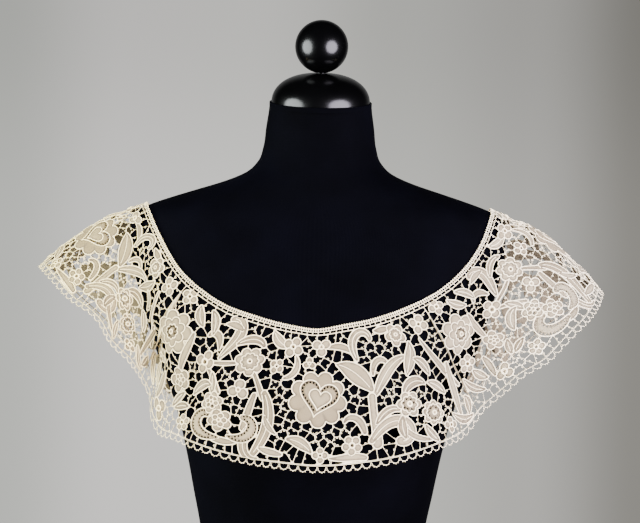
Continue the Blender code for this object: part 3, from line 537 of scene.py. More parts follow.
net = {
    "bar": 0.44,
    "outlineKeep": 0.34,
    "cell": 9.4,
    "rounds": 8,
    "reach": 8.0,
    "rays": 30,
    "corners": 11,
    "grid": 1.1,
    "jitter": 0.4,
    "outlineRoom": 1.3,
    "seedRoom": 3.6,
    "seedMargin": 0.9,   # from the piece's edge
    "shuffle": 2.5,
    "packing": 0.8,
    "neighbours": 2.2,   # how many reaches away another gap still counts
    "leastFacing": 0.05,
    "hollowLoss": 4,     # corners that lie hollow are kept longest
    "markStep": 0.6,
    "rounding": 0.2,
    "rimSteps": 193,
    "sideSteps": 64,
}


def pieceBorder():
    half = cut["pieceHalf"]
    rim = np.linspace(-half, half, net["rimSteps"])
    sides = np.linspace(cut["bandDepth"], cut["edgeLine"], net["sideSteps"])[1:-1]
    return np.concatenate([flat(rim, cut["edgeLine"]), flat(half, sides[::-1]),
                           flat(rim[::-1], cut["bandDepth"]), flat(-half, sides)])


def spreadSeeds(motifs, marks, seed):
    random = np.random.default_rng(seed)
    ground = gridPoints(net["grid"])
    ground = ground + random.uniform(-net["jitter"], net["jitter"], ground.shape) * net["grid"]
    ground = ground[inPiece(ground, net["seedMargin"])]
    for motif in motifs:
        near = boxed(ground, motif.outline)
        ground = np.delete(ground, near[inside(ground[near], motif.outline)], axis=0)
    room = nearest(ground, treeOf(marks))
    free = room > net["outlineRoom"]
    ground, room = ground[free], room[free]
    order = np.argsort(-room + random.uniform(0, net["shuffle"], len(room)))
    seeds = spaced(ground[order], net["cell"] * net["packing"])
    for _ in range(net["rounds"]):
        tree = treeOf(seeds)
        owner = np.array([tree.find((x, y, 0))[1] for x, y in ground.tolist()])
        count = np.maximum(np.bincount(owner, minlength=len(seeds)), 1)
        middle = np.stack([np.bincount(owner, ground[:, k], len(seeds)) / count for k in (0, 1)], -1)
        back = treeOf(ground)
        seeds = np.array([ground[back.find((x, y, 0))[1]] for x, y in middle.tolist()])
    return spaced(seeds, net["seedRoom"])


def outlineMarks(motifs, border):
    lines = [motif.outline for motif in motifs if motif.layer == 0] + [border]
    return np.concatenate([walk(line, net["markStep"]) for line in lines])


def netGaps(motifs, marks, seed):
    seeds = spreadSeeds(motifs, marks, seed)
    keep, rayCount, least = net["outlineKeep"], net["rays"], net["leastFacing"]
    rays = np.arange(rayCount) * 2 * math.pi / rayCount
    rays = np.stack([np.cos(rays), np.sin(rays)], -1)
    gaps = []
    for centre in seeds:
        reach = np.full(rayCount, net["reach"])
        offset = seeds - centre
        distance = np.linalg.norm(offset, axis=1)
        close = (distance > 0) & (distance < net["neighbours"] * net["reach"])
        facing = rays @ (offset[close] / distance[close, None]).T
        wall = (distance[close] - net["bar"]) / 2
        blocked = np.where(facing > least, wall / np.maximum(facing, least), math.inf)
        reach = np.minimum(reach, blocked.min(1, initial=math.inf))
        near = marks[np.linalg.norm(marks - centre, axis=1) < net["reach"] + keep] - centre
        along = rays @ near.T
        aside = (near**2).sum(1) - along**2
        meets = (along > 0) & (aside < keep**2)
        touch = along - np.sqrt(np.maximum(keep**2 - aside, 0))
        reach = np.minimum(reach, np.where(meets, touch, math.inf).min(1, initial=math.inf))
        gap = centre + rays * reach[:, None]
        while len(gap) > net["corners"]:
            before, after = np.roll(gap, 1, axis=0), np.roll(gap, -1, axis=0)
            loss = np.cross(gap - before, after - gap)
            gap = np.delete(gap, np.where(loss < 0, -net["hollowLoss"] * loss, loss).argmin(), axis=0)
        after, near = np.roll(gap, -1, axis=0), net["rounding"]
        pair = [(1 - near) * gap + near * after, near * gap + (1 - near) * after]
        gaps.append(np.stack(pair, 1).reshape(-1, 2))
    return gaps, seeds


# Eyelets: rows of tiny holes inside the border of a beaded motif

eyelets = {
    "inset": 2.0,
    "lineStep": 0.4,
    "lineKeep": 0.94,    # a point of the row keeps this share of the inset to every side
    "pitch": 3.1,
    "radius": 0.92,
    "corners": 8,
    "apart": 2.6,
    "leastBloom": 6.5,
    "laterStep": 0.8,
    "laterRoom": 1.3,    # from a motif that lies over it
    "margin": 1.4,
}


def eyeletGaps(motifs):
    places = []
    for order, motif in enumerate(motifs):
        found = np.zeros((0, 2))
        if getattr(motif.row, "beaded", False):
            row = insetLine(motif.outline, eyelets["lineStep"], eyelets["inset"], eyelets["lineKeep"])[1]
            found = spaced(row, eyelets["pitch"])
        elif getattr(motif.row, "petals", 0) > 3 and motif.row.radius > eyelets["leastBloom"]:
            found = motif.centre[None]
        found = found[inside(found, motif.outline)] if len(found) else found
        for later in motifs[order + 1:]:
            if not len(found):
                break
            room = nearest(found, treeOf(walk(later.outline, eyelets["laterStep"])))
            found = found[~inside(found, later.outline) & (room > eyelets["laterRoom"])]
        places.append(found)
    places = np.concatenate(places)
    kept = spaced(places[inPiece(places, eyelets["margin"])], eyelets["apart"])
    around = np.arange(eyelets["corners"]) * 2 * math.pi / eyelets["corners"]
    ring = np.stack([np.cos(around), np.sin(around)], -1) * eyelets["radius"]
    return [place + ring for place in kept]


# Lace plates: cloth and bars cut round the gaps, a lens section on every bar

lace = {
    "middle": 0.95,      # height of a bar's edges over the inner side
    "half": 0.5,         # half a bar's thickness
    "round": 0.42,
    "clothLevel": 0.2,
    "clothDome": 0.75,
    "domeWidth": 3.2,
    "layerRise": 0.65,
    "rimInset": 0.85,    # the groove inside an outline's cord
    "rimWidth": 0.4,
    "rimHollow": 0.4,
    "veinDepth": 0.6,
    "veinWidth": 0.55,
    "petalGroove": 0.65,
    "petalWidth": 0.5,
    "valleyWidth": 0.6,
    "grooveFrom": 0.5,   # a groove's middle lies this far from its line
    "clothEdge": 0.4,    # the cloth rises over this width
    "grooveStep": 0.4,
    "rimStep": 0.5,
    "clothGrid": 2.1,
    "outlineStep": 1.1,
    "veinStep": 1.0,
    "petalStep": 0.9,
    "barStep": 1.3,
    "apart": 0.72,       # between two points of the plate
    "offEdge": 0.28,
    "offFence": 0.3,
    "barShare": 0.36,    # a bar's middle line is kept where it is this wide
    "rimKeep": 0.9,
    "fenceStep": 0.45,
    "gapStep": 0.3,
    "margin": 0.5,
    "slack": 0.02,
    "sharp": 70,
    # painted shade on the inner side and edges: groove shade, then tone
    "innerTones": (0.3, 0.95),
    "contact": 0.9,      # how far a raised layer shades the cloth beside it
    "contactShade": 0.55,
    "rimShade": 0.85,
    "netTone": 0.08,     # tones run from 0, bright thread, to 1, dull cloth
    "clothTone": 0.98,
    # painted highlight: domes are lightened by this much, plus a share that differs from motif to motif
    "domeHighlight": 0.03,
    "domeHighlightSpread": 0.14,
}


def plateHeights(points, motifs, toGap):
    # heights of the outer side, and how much painted shade each point gets in a groove or beside a raised
    # layer
    swell = np.sqrt(1 - (1 - np.clip(toGap / lace["round"], 0, 1))**2)
    top = lace["middle"] + lace["half"] * swell
    grooveShade = np.zeros(len(points))
    tone = np.full(len(points), lace["netTone"])
    for motif in motifs:
        near = boxed(points, motif.outline, lace["contact"])
        depth = nearest(points[near], treeOf(walk(motif.outline, lace["rimStep"])))
        within = inside(points[near], motif.outline)
        beside = near[~within]
        shade = lace["contactShade"] * np.clip(1 - depth[~within] / lace["contact"], 0, 1)
        onCloth = top[beside] > lace["middle"] + lace["half"] + 0.1
        grooveShade[beside] = np.maximum(grooveShade[beside], shade * onCloth)
        near, depth = near[within], depth[within]
        if not len(near):
            continue
        dome = 1 - (1 - np.clip(depth / lace["domeWidth"], 0, 1))**2
        rise = lace["layerRise"] * motif.layer + lace["clothLevel"] * np.clip(depth / lace["clothEdge"], 0, 1)
        rise += lace["clothDome"] * dome
        rim = np.exp(-((depth - lace["rimInset"]) / lace["rimWidth"])**2)
        hollow = np.zeros(len(near))
        if motif.vein is not None:
            away = nearest(points[near], treeOf(walk(motif.vein, lace["grooveStep"], False)))
            hollow = np.exp(-((away - lace["grooveFrom"]) / lace["veinWidth"])**2) * lace["veinDepth"]
        elif motif.inner:
            arcs = treeOf(np.concatenate([walk(arc, lace["grooveStep"], False) for arc in motif.inner]))
            away = nearest(points[near], arcs)
            hollow = np.exp(-((away - lace["grooveFrom"]) / lace["petalWidth"])**2) * lace["petalGroove"]
        elif getattr(motif.row, "petals", 0):
            offset = points[near] - motif.centre
            spread = np.hypot(*offset.T)
            half = math.pi / motif.row.petals
            valley = motif.outline[0] - motif.centre
            turn = np.arctan2(offset[:, 1], offset[:, 0]) - math.atan2(valley[1], valley[0])
            side = np.abs((turn + half) % (2 * half) - half) * spread
            outwards = np.clip(spread / motif.row.radius * 2 - 0.5, 0, 1)
            hollow = np.exp(-(side / lace["valleyWidth"])**2) * lace["petalGroove"] * outwards
        top[near] = lace["middle"] + lace["half"] + rise - hollow - rim * lace["rimHollow"]
        # painted shade: the colour darkens in the grooves of veins and petals and inside each cord
        grooveShade[near] = np.maximum(hollow / lace["petalGroove"], rim * lace["rimShade"])
        # painted highlight: the tone lightens towards the top of each dome, more on some motifs than others
        tone[near] = lace["clothTone"] - (lace["domeHighlight"] + lace["domeHighlightSpread"] * motif.tone) * dome
    return top, grooveShade, tone, lace["middle"] - lace["half"] * swell


def splitFlatBars(points, faces, onGap, used):
    # a bar whose triangle runs from gap to gap gets a point in its middle
    table, extra = {}, []
    for a, b in used:
        if onGap[a] and onGap[b]:
            table[a, b] = len(points) + len(extra)
            extra.append((points[a] + points[b]) / 2)
    made = []
    for a, b, c in faces:
        m, n, p = (table.get((min(q), max(q))) for q in ((a, b), (b, c), (c, a)))
        count = (m is not None) + (n is not None) + (p is not None)
        if count == 0:
            made.append((a, b, c))
            continue
        while m is None or (count == 2 and n is None):
            a, b, c, m, n, p = b, c, a, n, p, m
        if count == 1:
            made += [(a, m, c), (m, b, c)]
        elif count == 2:
            made += [(m, b, n), (a, m, n), (a, n, c)]
        else:
            made += [(a, m, p), (m, b, n), (p, n, c), (m, n, p)]
    return np.concatenate([points, np.array(extra).reshape(-1, 2)]), np.array(made)


def sidesOf(faces):
    return np.concatenate([faces[:, [0, 1]], faces[:, [1, 2]], faces[:, [2, 0]]])


def edgeUses(faces):
    return np.unique(np.sort(sidesOf(faces), axis=1), axis=0, return_counts=True)


def outsideGaps(points, gaps):
    keep = np.ones(len(points), bool)
    for gap in gaps:
        near = boxed(points, gap)
        keep[near] &= ~inside(points[near], gap)
    return keep


def flatPlate(border, gaps, motifs):
    loops = [border] + gaps
    points = np.concatenate(loops)
    edges, holes = [], []
    for loop in loops:
        first = len(edges)
        edges += [(first + i, first + (i + 1) % len(loop)) for i in range(len(loop))]
    fence = treeOf(np.concatenate([walk(loop, lace["fenceStep"]) for loop in loops]))
    middles = []
    for gap in gaps:
        line = walk(gap, lace["barStep"])
        ahead, behind = np.roll(line, -1, axis=0), np.roll(line, 1, axis=0)
        out = (ahead - behind)[:, ::-1] * [1, -1]
        middles.append(line + out / np.linalg.norm(out, axis=1, keepdims=True) * net["bar"] / 2)
    middles = np.concatenate(middles)
    extra = [middles[nearest(middles, fence) > net["bar"] * lace["barShare"]]]
    for order, motif in enumerate(motifs):
        line, inner = insetLine(motif.outline, lace["outlineStep"], lace["rimInset"], lace["rimKeep"])
        extra.append(line[nearest(line, fence) > lace["offFence"]])
        for later in motifs[order + 1:]:
            inner = inner[~inside(inner, later.outline)]
        extra.append(inner)
        if motif.vein is not None:
            extra.append(walk(motif.vein, lace["veinStep"], False))
        extra += [walk(arc, lace["petalStep"], False) for arc in motif.inner]
    extra.append(gridPoints(lace["clothGrid"]))
    extra = np.concatenate(extra)
    extra = extra[inPiece(extra, lace["margin"])]
    extra = extra[outsideGaps(extra, gaps)]
    extra = extra[nearest(extra, fence) > lace["offEdge"]]
    points = np.concatenate([points, spaced(extra, lace["apart"])])
    result = delaunay_2d_cdt([Vector(point) for point in points.tolist()], edges, [], 1, 1e-5, False)
    corners = np.array([tuple(corner) for corner in result[0]])
    faces = np.array(result[2])
    turn = np.cross(corners[faces[:, 1]] - corners[faces[:, 0]], corners[faces[:, 2]] - corners[faces[:, 0]])
    faces[turn < 0] = faces[turn < 0][:, ::-1]
    centres = corners[faces].mean(1)
    faces = faces[inPiece(centres, -lace["slack"]) & outsideGaps(centres, gaps)]
    named, uses = edgeUses(faces)
    onRim = np.zeros(len(corners), bool)
    onRim[np.unique(named[uses == 1])] = True
    outer = ~inPiece(corners, lace["slack"])
    corners, faces = splitFlatBars(corners, faces, onRim & ~outer, named[uses == 2].tolist())
    return corners, faces


def meshObject(name, points, faces, material=None, sharp=None, edges=()):
    mesh = bpy.data.meshes.new(name)
    mesh.from_pydata((np.asarray(points, float) * mm).tolist(), edges, faces)
    if sharp:
        mesh.shade_smooth()
        mesh.set_sharp_from_angle(angle=math.radians(sharp))
    if material:
        mesh.materials.append(material)
    item = bpy.data.objects.new(name, mesh)
    bpy.context.scene.collection.objects.link(item)
    return item


def mark(item, name, values, domain="POINT"):
    # keeps numbers or vectors on a mesh
    values = np.asarray(values, np.float32)
    held = item.data.attributes.new(name, "FLOAT_VECTOR" if values.ndim == 2 else "FLOAT", domain)
    held.data.foreach_set("vector" if values.ndim == 2 else "value", values.ravel())


def buildPlate(piece, motifs, gaps):
    corners, faces = flatPlate(pieceBorder(), gaps, motifs)
    named, uses = edgeUses(faces)
    rimEdges = named[uses == 1]
    outer = ~inPiece(corners, lace["slack"])
    toGap = nearest(corners, treeOf(np.concatenate([walk(gap, lace["gapStep"]) for gap in gaps])))
    onGap = np.zeros(len(corners), bool)
    onGap[np.unique(rimEdges)] = True
    onGap &= ~outer
    toGap[onGap] = 0
    top, grooveShade, tone, under = plateHeights(corners, motifs, toGap)
    top[onGap] = under[onGap] = lace["middle"]
    lower = np.arange(len(corners)) + len(corners)
    lower[onGap] = np.nonzero(onGap)[0]
    points = np.concatenate([draped(middleAngle(piece), corners, height)[0] for height in (top, under)])
    directed = set(map(tuple, sidesOf(faces).tolist()))
    walls = []
    for a, b in rimEdges.tolist():
        if onGap[a] or onGap[b]:
            continue
        if (a, b) not in directed:
            a, b = b, a
        walls += [(b, a, lower[a]), (b, lower[a], lower[b])]
    allFaces = np.concatenate([faces, lower[faces[:, ::-1]], np.array(walls)])
    used = np.unique(allFaces)
    renumber = np.zeros(len(points), int)
    renumber[used] = np.arange(len(used))
    item = meshObject(piece.name, points[used], renumber[allFaces].tolist(), cotton, sharp=lace["sharp"])
    flatPlace = np.concatenate([corners, corners])[used]
    uv = item.data.uv_layers.new(name="flatCut")
    loops = np.empty(len(item.data.loops), int)
    item.data.loops.foreach_get("vertex_index", loops)
    uv.data.foreach_set("uv", (flatPlace[loops] * 0.01).ravel())
    for name, values, behind in zip(("grooveShade", "clothTone"), (grooveShade, tone), lace["innerTones"]):
        # painted shade: the inner side and the edges get a darker tone and some groove shade, as if out of
        # the light
        shown = np.full(len(loops), behind)
        shown[:faces.size] = values[faces.ravel()]
        mark(item, name, shown, "CORNER")
    a, b, c = (corners[faces[:, k]] for k in range(3))
    return item, float(np.abs(np.cross(b - a, c - a)).sum() / 2)


# Node helpers

def feed(tree, node, **values):
    # sets a node's values; a node or a socket is linked, and in0, in1 count the inputs
    for name, value in values.items():
        if name in node.bl_rna.properties:
            setattr(node, name, value)
            continue
        socket = node.inputs[int(name[2:]) if name.startswith("in") else name.replace("_", " ")]
        if isinstance(value, bpy.types.Node):
            value = next(output for output in value.outputs if output.enabled)
        if isinstance(value, bpy.types.NodeSocket):
            tree.links.new(value, socket)
        else:
            socket.default_value = value
    return node


def put(tree, kind, **values):
    return feed(tree, tree.nodes.new(kind), **values)


def reckon(tree, operation, *values):
    inputs = {f"in{number}": value for number, value in enumerate(values)}
    return put(tree, "ShaderNodeMath", operation=operation, **inputs)


def ramp(tree, factor, stops):
    # a colour ramp through places and colours, in rising order
    node = put(tree, "ShaderNodeValToRGB", Fac=factor)
    elements = node.color_ramp.elements
    for element, (place, colour) in zip(elements, (stops[0], stops[-1])):
        element.position, element.color = place, (*colour, 1)
    for place, colour in stops[1:-1]:
        elements.new(place).color = (*colour, 1)
    return node


def newTree(name, family, inputs, outputs):
    tree = bpy.data.node_groups.new(name, family + "NodeTree")
    for socket, kind in inputs:
        tree.interface.new_socket(socket, in_out="INPUT", socket_type="NodeSocket" + kind)
    for socket, kind in outputs:
        tree.interface.new_socket(socket, in_out="OUTPUT", socket_type="NodeSocket" + kind)
    return tree, put(tree, "NodeGroupInput").outputs


def socketId(tree, name):
    return next(item.identifier for item in tree.interface.items_tree
                if item.item_type == "SOCKET" and item.in_out == "INPUT" and item.name == name)


def runNodes(item, tree, **values):
    # runs a node tree on an object and keeps its result as a plain mesh
    modifier = item.modifiers.new(tree.name, "NODES")
    modifier.node_group = tree
    for name, value in values.items():
        modifier[socketId(tree, name)] = value
    bpy.context.view_layer.update()
    graph = bpy.context.evaluated_depsgraph_get()
    mesh = bpy.data.meshes.new_from_object(item.evaluated_get(graph))
    item.modifiers.remove(modifier)
    old = item.data
    item.data = mesh
    mesh.name = item.name
    bpy.data.meshes.remove(old)
    return item


def dressTree(tree, made, material):
    real = put(tree, "GeometryNodeRealizeInstances", Geometry=made)
    smooth = put(tree, "GeometryNodeSetShadeSmooth", in0=real)
    dressed = put(tree, "GeometryNodeSetMaterial", Geometry=smooth, Material=material)
    put(tree, "NodeGroupOutput", in0=dressed)
    return tree


def threadTree():
    # a round thread along every edge of a mesh, as thick as its attribute says
    tree, ins = newTree("threadTube", "Geometry", [("Geometry", "Geometry"), ("thickness", "Float"),
                                                   ("sides", "Int"), ("cotton", "Material")],
                        [("Geometry", "Geometry")])
    curve = put(tree, "GeometryNodeMeshToCurve", Mesh=ins["Geometry"])
    radius = put(tree, "GeometryNodeInputNamedAttribute", data_type="FLOAT", Name="threadRadius")
    scaled = reckon(tree, "MULTIPLY", radius, ins["thickness"])
    ring = put(tree, "GeometryNodeCurvePrimitiveCircle", Radius=1.0, Resolution=ins["sides"])
    marked = [put(tree, "GeometryNodeStoreNamedAttribute", data_type="FLOAT", domain="POINT", Name=name,
                  Geometry=line, Value=put(tree, "GeometryNodeSplineParameter").outputs[measure])
              for line, name, measure in ((curve, "threadAlong", "Length"), (ring, "threadAround", "Factor"))]
    tube = put(tree, "GeometryNodeCurveToMesh", Fill_Caps=True, Curve=marked[0], Profile_Curve=marked[1],
               Scale=scaled)
    return dressTree(tree, tube, ins["cotton"])


def ringTree():
    # small buttonholed rings lying on the cloth, one at each point
    tree, ins = newTree("threadRings", "Geometry", [("Geometry", "Geometry"), ("threadShare", "Float"),
                                                    ("corners", "Int"), ("unevenness", "Float"),
                                                    ("cotton", "Material")], [("Geometry", "Geometry")])
    ring = put(tree, "GeometryNodeCurvePrimitiveCircle", Radius=1.0, Resolution=ins["corners"])
    thread = put(tree, "GeometryNodeCurvePrimitiveCircle", Resolution=4, Radius=ins["threadShare"])
    tube = put(tree, "GeometryNodeCurveToMesh", Curve=ring, Profile_Curve=thread)
    normal = put(tree, "GeometryNodeInputNamedAttribute", data_type="FLOAT_VECTOR", Name="outward")
    facing = put(tree, "FunctionNodeAlignRotationToVector", axis="Z", Vector=normal)
    size = put(tree, "GeometryNodeInputNamedAttribute", data_type="FLOAT", Name="ringRadius")
    least = reckon(tree, "SUBTRACT", 1.0, ins["unevenness"])
    most = reckon(tree, "ADD", 1.0, ins["unevenness"])
    random = put(tree, "FunctionNodeRandomValue", data_type="FLOAT", Seed=7, in2=least, in3=most)
    scale = reckon(tree, "MULTIPLY", size, random.outputs[1])
    copies = put(tree, "GeometryNodeInstanceOnPoints", Points=ins["Geometry"], Instance=tube,
                 Rotation=facing, Scale=scale)
    return dressTree(tree, copies, ins["cotton"])


threadTube, threadRings = threadTree(), ringTree()


insideShade = {"most": 0.85, "slope": 2.0, "start": 0.2}


def shadeInside(item):
    # painted shade: the side of a thread that faces the wearer gets a darker tone, as if in shadow
    count = len(item.data.vertices)
    facing, outward = np.empty(count * 3, np.float32), np.empty(count * 3, np.float32)
    item.data.vertices.foreach_get("normal", facing)
    item.data.attributes["outward"].data.foreach_get("vector", outward)
    inward = -(facing * outward).reshape(-1, 3).sum(1)
    shown = np.clip(inward * insideShade["slope"] + insideShade["start"], 0, 1)
    mark(item, "clothTone", insideShade["most"] * shown)
    return item


def threadObject(name, runs, sides):
    # runs are ((points, ways outwards), radius, closed), in millimetres
    edges, radii = [], []
    for (line, _), radius, closed in runs:
        first, count = len(radii), len(line)
        radii += [radius * mm] * count
        edges += [(first + i, first + (i + 1) % count) for i in range(count if closed else count - 1)]
    item = meshObject(name, np.concatenate([run[0][0] for run in runs]), [], edges=edges)
    mark(item, "threadRadius", radii)
    mark(item, "outward", np.concatenate([run[0][1] for run in runs]))
    return shadeInside(runNodes(item, threadTube, thickness=1.0, sides=sides, cotton=thread))


def ringObject(name, places, outward, radii, corners, share, unevenness=0.12):
    item = meshObject(name, places, [])
    mark(item, "outward", outward)
    mark(item, "ringRadius", np.broadcast_to(radii, len(places)) * mm)
    return shadeInside(runNodes(item, threadRings, threadShare=share, corners=corners, unevenness=unevenness,
                               cotton=thread))


# Materials

def stitchGroup():
    # rows of close stitches crossed by the thread's own twist, as a height
    tree, ins = newTree("closeStitches", "Shader", [("Place", "Vector"), ("Row Scale", "Float"),
                                                    ("Twist Scale", "Float")], [("Height", "Float")])
    rows, twist = (put(tree, "ShaderNodeTexWave", wave_type="BANDS", bands_direction=way, Distortion=bend,
                       Detail=detail, Vector=ins["Place"], Scale=ins[scale]).outputs["Fac"]
                   for way, bend, detail, scale in (("Y", 1.2, 1.0, "Row Scale"),
                                                    ("DIAGONAL", 0.6, 2.0, "Twist Scale")))
    both = reckon(tree, "MULTIPLY_ADD", rows, 0.65, twist)
    put(tree, "NodeGroupOutput", Height=both)
    return tree


ageAndShade = {
    "tints": [(0.0, (0.98, 0.81, 0.29)), (0.36, (0.98, 0.81, 0.46)), (1.0, (0.99, 0.87, 0.63))],
    "halfWidth": 0.28,
    "stain": (0.74, 0.6, 0.36, 1),
    "stainShare": 0.5,
    # the dull colour that tone and painted shade darken towards, then the painted shade colour of the grooves
    "clothTone": (0.135, 0.115, 0.088, 1),
    "grooveShade": (0.06, 0.042, 0.026, 1),
    "grooveShadeShare": 0.75,
}


def ageAndShadeGroup():
    # cotton: yellower towards the viewer's left, whiter to the right, stained in clouds and duller on cloth;
    # painted shade makes it duller inside and darkest in the grooves, and a painted highlight lightens the
    # domes
    tree, ins = newTree("agedCottonAndShade", "Shader", [("Place", "Vector"), ("Groove", "Float"), ("Tone", "Float")],
                        [("Color", "Color"), ("Roughness", "Float")])
    apart = put(tree, "ShaderNodeSeparateXYZ", Vector=ins["Place"])
    across = put(tree, "ShaderNodeMapRange", From_Min=-ageAndShade["halfWidth"], From_Max=ageAndShade["halfWidth"],
                 Value=apart.outputs["X"])
    cloud = put(tree, "ShaderNodeTexNoise", Scale=38.0, Detail=4.0, Roughness=0.6, Vector=ins["Place"])
    worn = put(tree, "ShaderNodeMapRange", From_Min=0.3, From_Max=0.72, To_Min=0.0, To_Max=ageAndShade["stainShare"],
               Value=cloud)
    # painted shade: the grooves are darkened towards a deep brown
    paintedShade = reckon(tree, "MULTIPLY", ins["Groove"], ageAndShade["grooveShadeShare"])
    colour = ramp(tree, across, ageAndShade["tints"])
    for blend, tone, share in (("MIX", "stain", worn), ("MULTIPLY", "clothTone", ins["Tone"]),
                               ("MIX", "grooveShade", paintedShade)):
        colour = put(tree, "ShaderNodeMix", data_type="RGBA", blend_type=blend, Factor=share, A=colour,
                     B=ageAndShade[tone])
    rough = put(tree, "ShaderNodeMapRange", To_Min=0.72, To_Max=0.95, Value=cloud)
    put(tree, "NodeGroupOutput", Color=colour, Roughness=rough)
    return tree


closeStitches, agedCottonAndShade = stitchGroup(), ageAndShadeGroup()


def startMaterial(name):
    material = bpy.data.materials.new(name)
    material.use_nodes = True
    tree = material.node_tree
    return material, tree, tree.nodes["Principled BSDF"], put(tree, "ShaderNodeTexCoord").outputs["Object"]


weave = {"rows": 60.0, "twist": 85.0, "plyTurns": 1400.0, "strength": 0.5, "relief": 0.0003}


def cottonMaterial(name, isThread):
    material, tree, shader, place = startMaterial(name)
    # the tone with its painted shade and painted highlight, and the painted groove shade or the thread's
    # twist places
    tone, *marks = (put(tree, "ShaderNodeAttribute", attribute_name=held).outputs["Fac"]
                    for held in ["clothTone"] + (["threadAlong", "threadAround"] if isThread else ["grooveShade"]))
    agedAndShaded = put(tree, "ShaderNodeGroup", node_tree=agedCottonAndShade, Place=place, Tone=tone)
    if isThread:
        turns = reckon(tree, "MULTIPLY_ADD", marks[0], weave["plyTurns"], marks[1])
        ply = reckon(tree, "MULTIPLY", turns, 2 * math.pi)
        relief = reckon(tree, "SINE", ply)
    else:
        feed(tree, agedAndShaded, Groove=marks[0])
        relief = put(tree, "ShaderNodeGroup", node_tree=closeStitches, Row_Scale=weave["rows"],
                     Twist_Scale=weave["twist"], Place=put(tree, "ShaderNodeUVMap", uv_map="flatCut"))
    bump = put(tree, "ShaderNodeBump", Strength=weave["strength"], Distance=weave["relief"], Height=relief)
    feed(tree, shader, Base_Color=agedAndShaded.outputs["Color"], Roughness=agedAndShaded.outputs["Roughness"], Sheen_Weight=0.04,
         Sheen_Roughness=0.5, Normal=bump)
    return material


def jerseyMaterial():
    material, tree, shader, place = startMaterial("navyJersey")
    knit = put(tree, "ShaderNodeUVMap", uv_map="knit")
    ribs, rows = (put(tree, "ShaderNodeTexWave", bands_direction=way, Scale=scale, Distortion=bend,
                      Vector=knit).outputs["Fac"]
                  for way, scale, bend in (("X", 160.0, 0.4), ("Y", 200.0, 0.8)))
    both = reckon(tree, "MULTIPLY", ribs, rows)
    lint = put(tree, "ShaderNodeTexNoise", Scale=14.0, Detail=5.0, Vector=place)
    feed(tree, shader, Specular_IOR_Level=0.02,
         Base_Color=ramp(tree, lint, [(0.35, (0.0001, 0.0001, 0.0004)), (0.75, (0.0004, 0.0004, 0.0012))]),
         Roughness=put(tree, "ShaderNodeMapRange", To_Min=0.8, To_Max=1.0, Value=both),
         Normal=put(tree, "ShaderNodeBump", Strength=0.3, Distance=0.0003, Height=both))
    return material


def lacquerMaterial():
    material, tree, shader, place = startMaterial("blackLacquer")
    ripple = put(tree, "ShaderNodeTexNoise", Scale=120.0, Detail=2.0, Vector=place)
    dust = put(tree, "ShaderNodeTexNoise", Scale=30.0, Detail=6.0, Vector=place)
    feed(tree, shader, Specular_IOR_Level=0.22,
         Base_Color=ramp(tree, dust, [(0.0, (0.0002, 0.0002, 0.0002)), (1.0, (0.0006, 0.0006, 0.0007))]),
         Roughness=put(tree, "ShaderNodeMapRange", From_Min=0.35, From_Max=0.7, To_Min=0.2, To_Max=0.24,
                       Value=dust),
         Normal=put(tree, "ShaderNodeBump", Strength=0.03, Distance=0.0002, Height=ripple))
    return material


cotton, thread = cottonMaterial("needleLace", False), cottonMaterial("laceThread", True)
jersey, lacquer = jerseyMaterial(), lacquerMaterial()
print("materials ready")


# Dress form: a finer torso, cap and ball in the place of the plain solids

form = {
    "around": 120,
    "ringStep": 6.0,
    "neckStep": 3.0,
    "neckFoot": 505.0,
    "top": 612.0,
    "capTilt": math.radians(10.0),
    "capSeat": 617.0,
    "capRadius": 49.5,
    "capRim": 1.5,
    "capDome": 31.5,
    "capFullness": 2.3,
    "ballRadius": 26.5,
    "ballCentre": 59.5,
    "dowelRadius": 5.0,
    "seatGap": 0.3,
    "rimOuter": 51.2,
    "rimInner": 50.2,
    "rimHeight": 4.2,
    "capSteps": (96, 33),   # round the axis and along the profile, here and below
    "ballSteps": (72, 40),
}


def buildTorso():
    per = form["around"]
    around = np.arange(per) * 2 * math.pi / per
    c, s = np.cos(around), np.sin(around)
    rings = []
    for height in np.r_[np.arange(0, form["neckFoot"], form["ringStep"]),
                        np.arange(form["neckFoot"], form["top"], form["neckStep"])]:
        width, front, back, square = formSection(np.array(height))
        x = width * np.sign(c) * np.abs(c)**(2 / square)
        y = np.where(s < 0, front, back) * np.sign(s) * np.abs(s)**(2 / square)
        rings.append(np.stack([x, y, np.full(per, height)], -1))
    outer, inner, top = form["rimOuter"], form["rimInner"], form["rimHeight"]
    for radius, rise in ((outer, -1.0), (outer, top - 0.4), (outer - 0.4, top), (inner, top), (inner, 0.0)):
        z = form["capSeat"] - form["seatGap"] + rise + radius * s * math.tan(form["capTilt"])
        rings.append(np.stack([radius * c, radius * s, z], -1))
    last = (len(rings) - 1) * per
    faces = [(i + j, i + (j + 1) % per, i + per + (j + 1) % per, i + per + j)
             for i in range(0, last, per) for j in range(per)]
    faces += [tuple(reversed(range(per))), tuple(range(last, last + per))]
    item = meshObject("formTorso", np.concatenate(rings), faces, jersey, sharp=50)
    mesh = item.data
    uv = mesh.uv_layers.new(name="knit")
    for face in mesh.polygons:
        for corner in face.loop_indices:
            vertex = mesh.loops[corner].vertex_index
            j = vertex % per
            if j == 0 and face.index < last and face.index % per == per - 1:
                j = per  # the last column of faces ends at the seam
            uv.data[corner].uv = (j / per * 0.9, mesh.vertices[vertex].co.z)
    return item


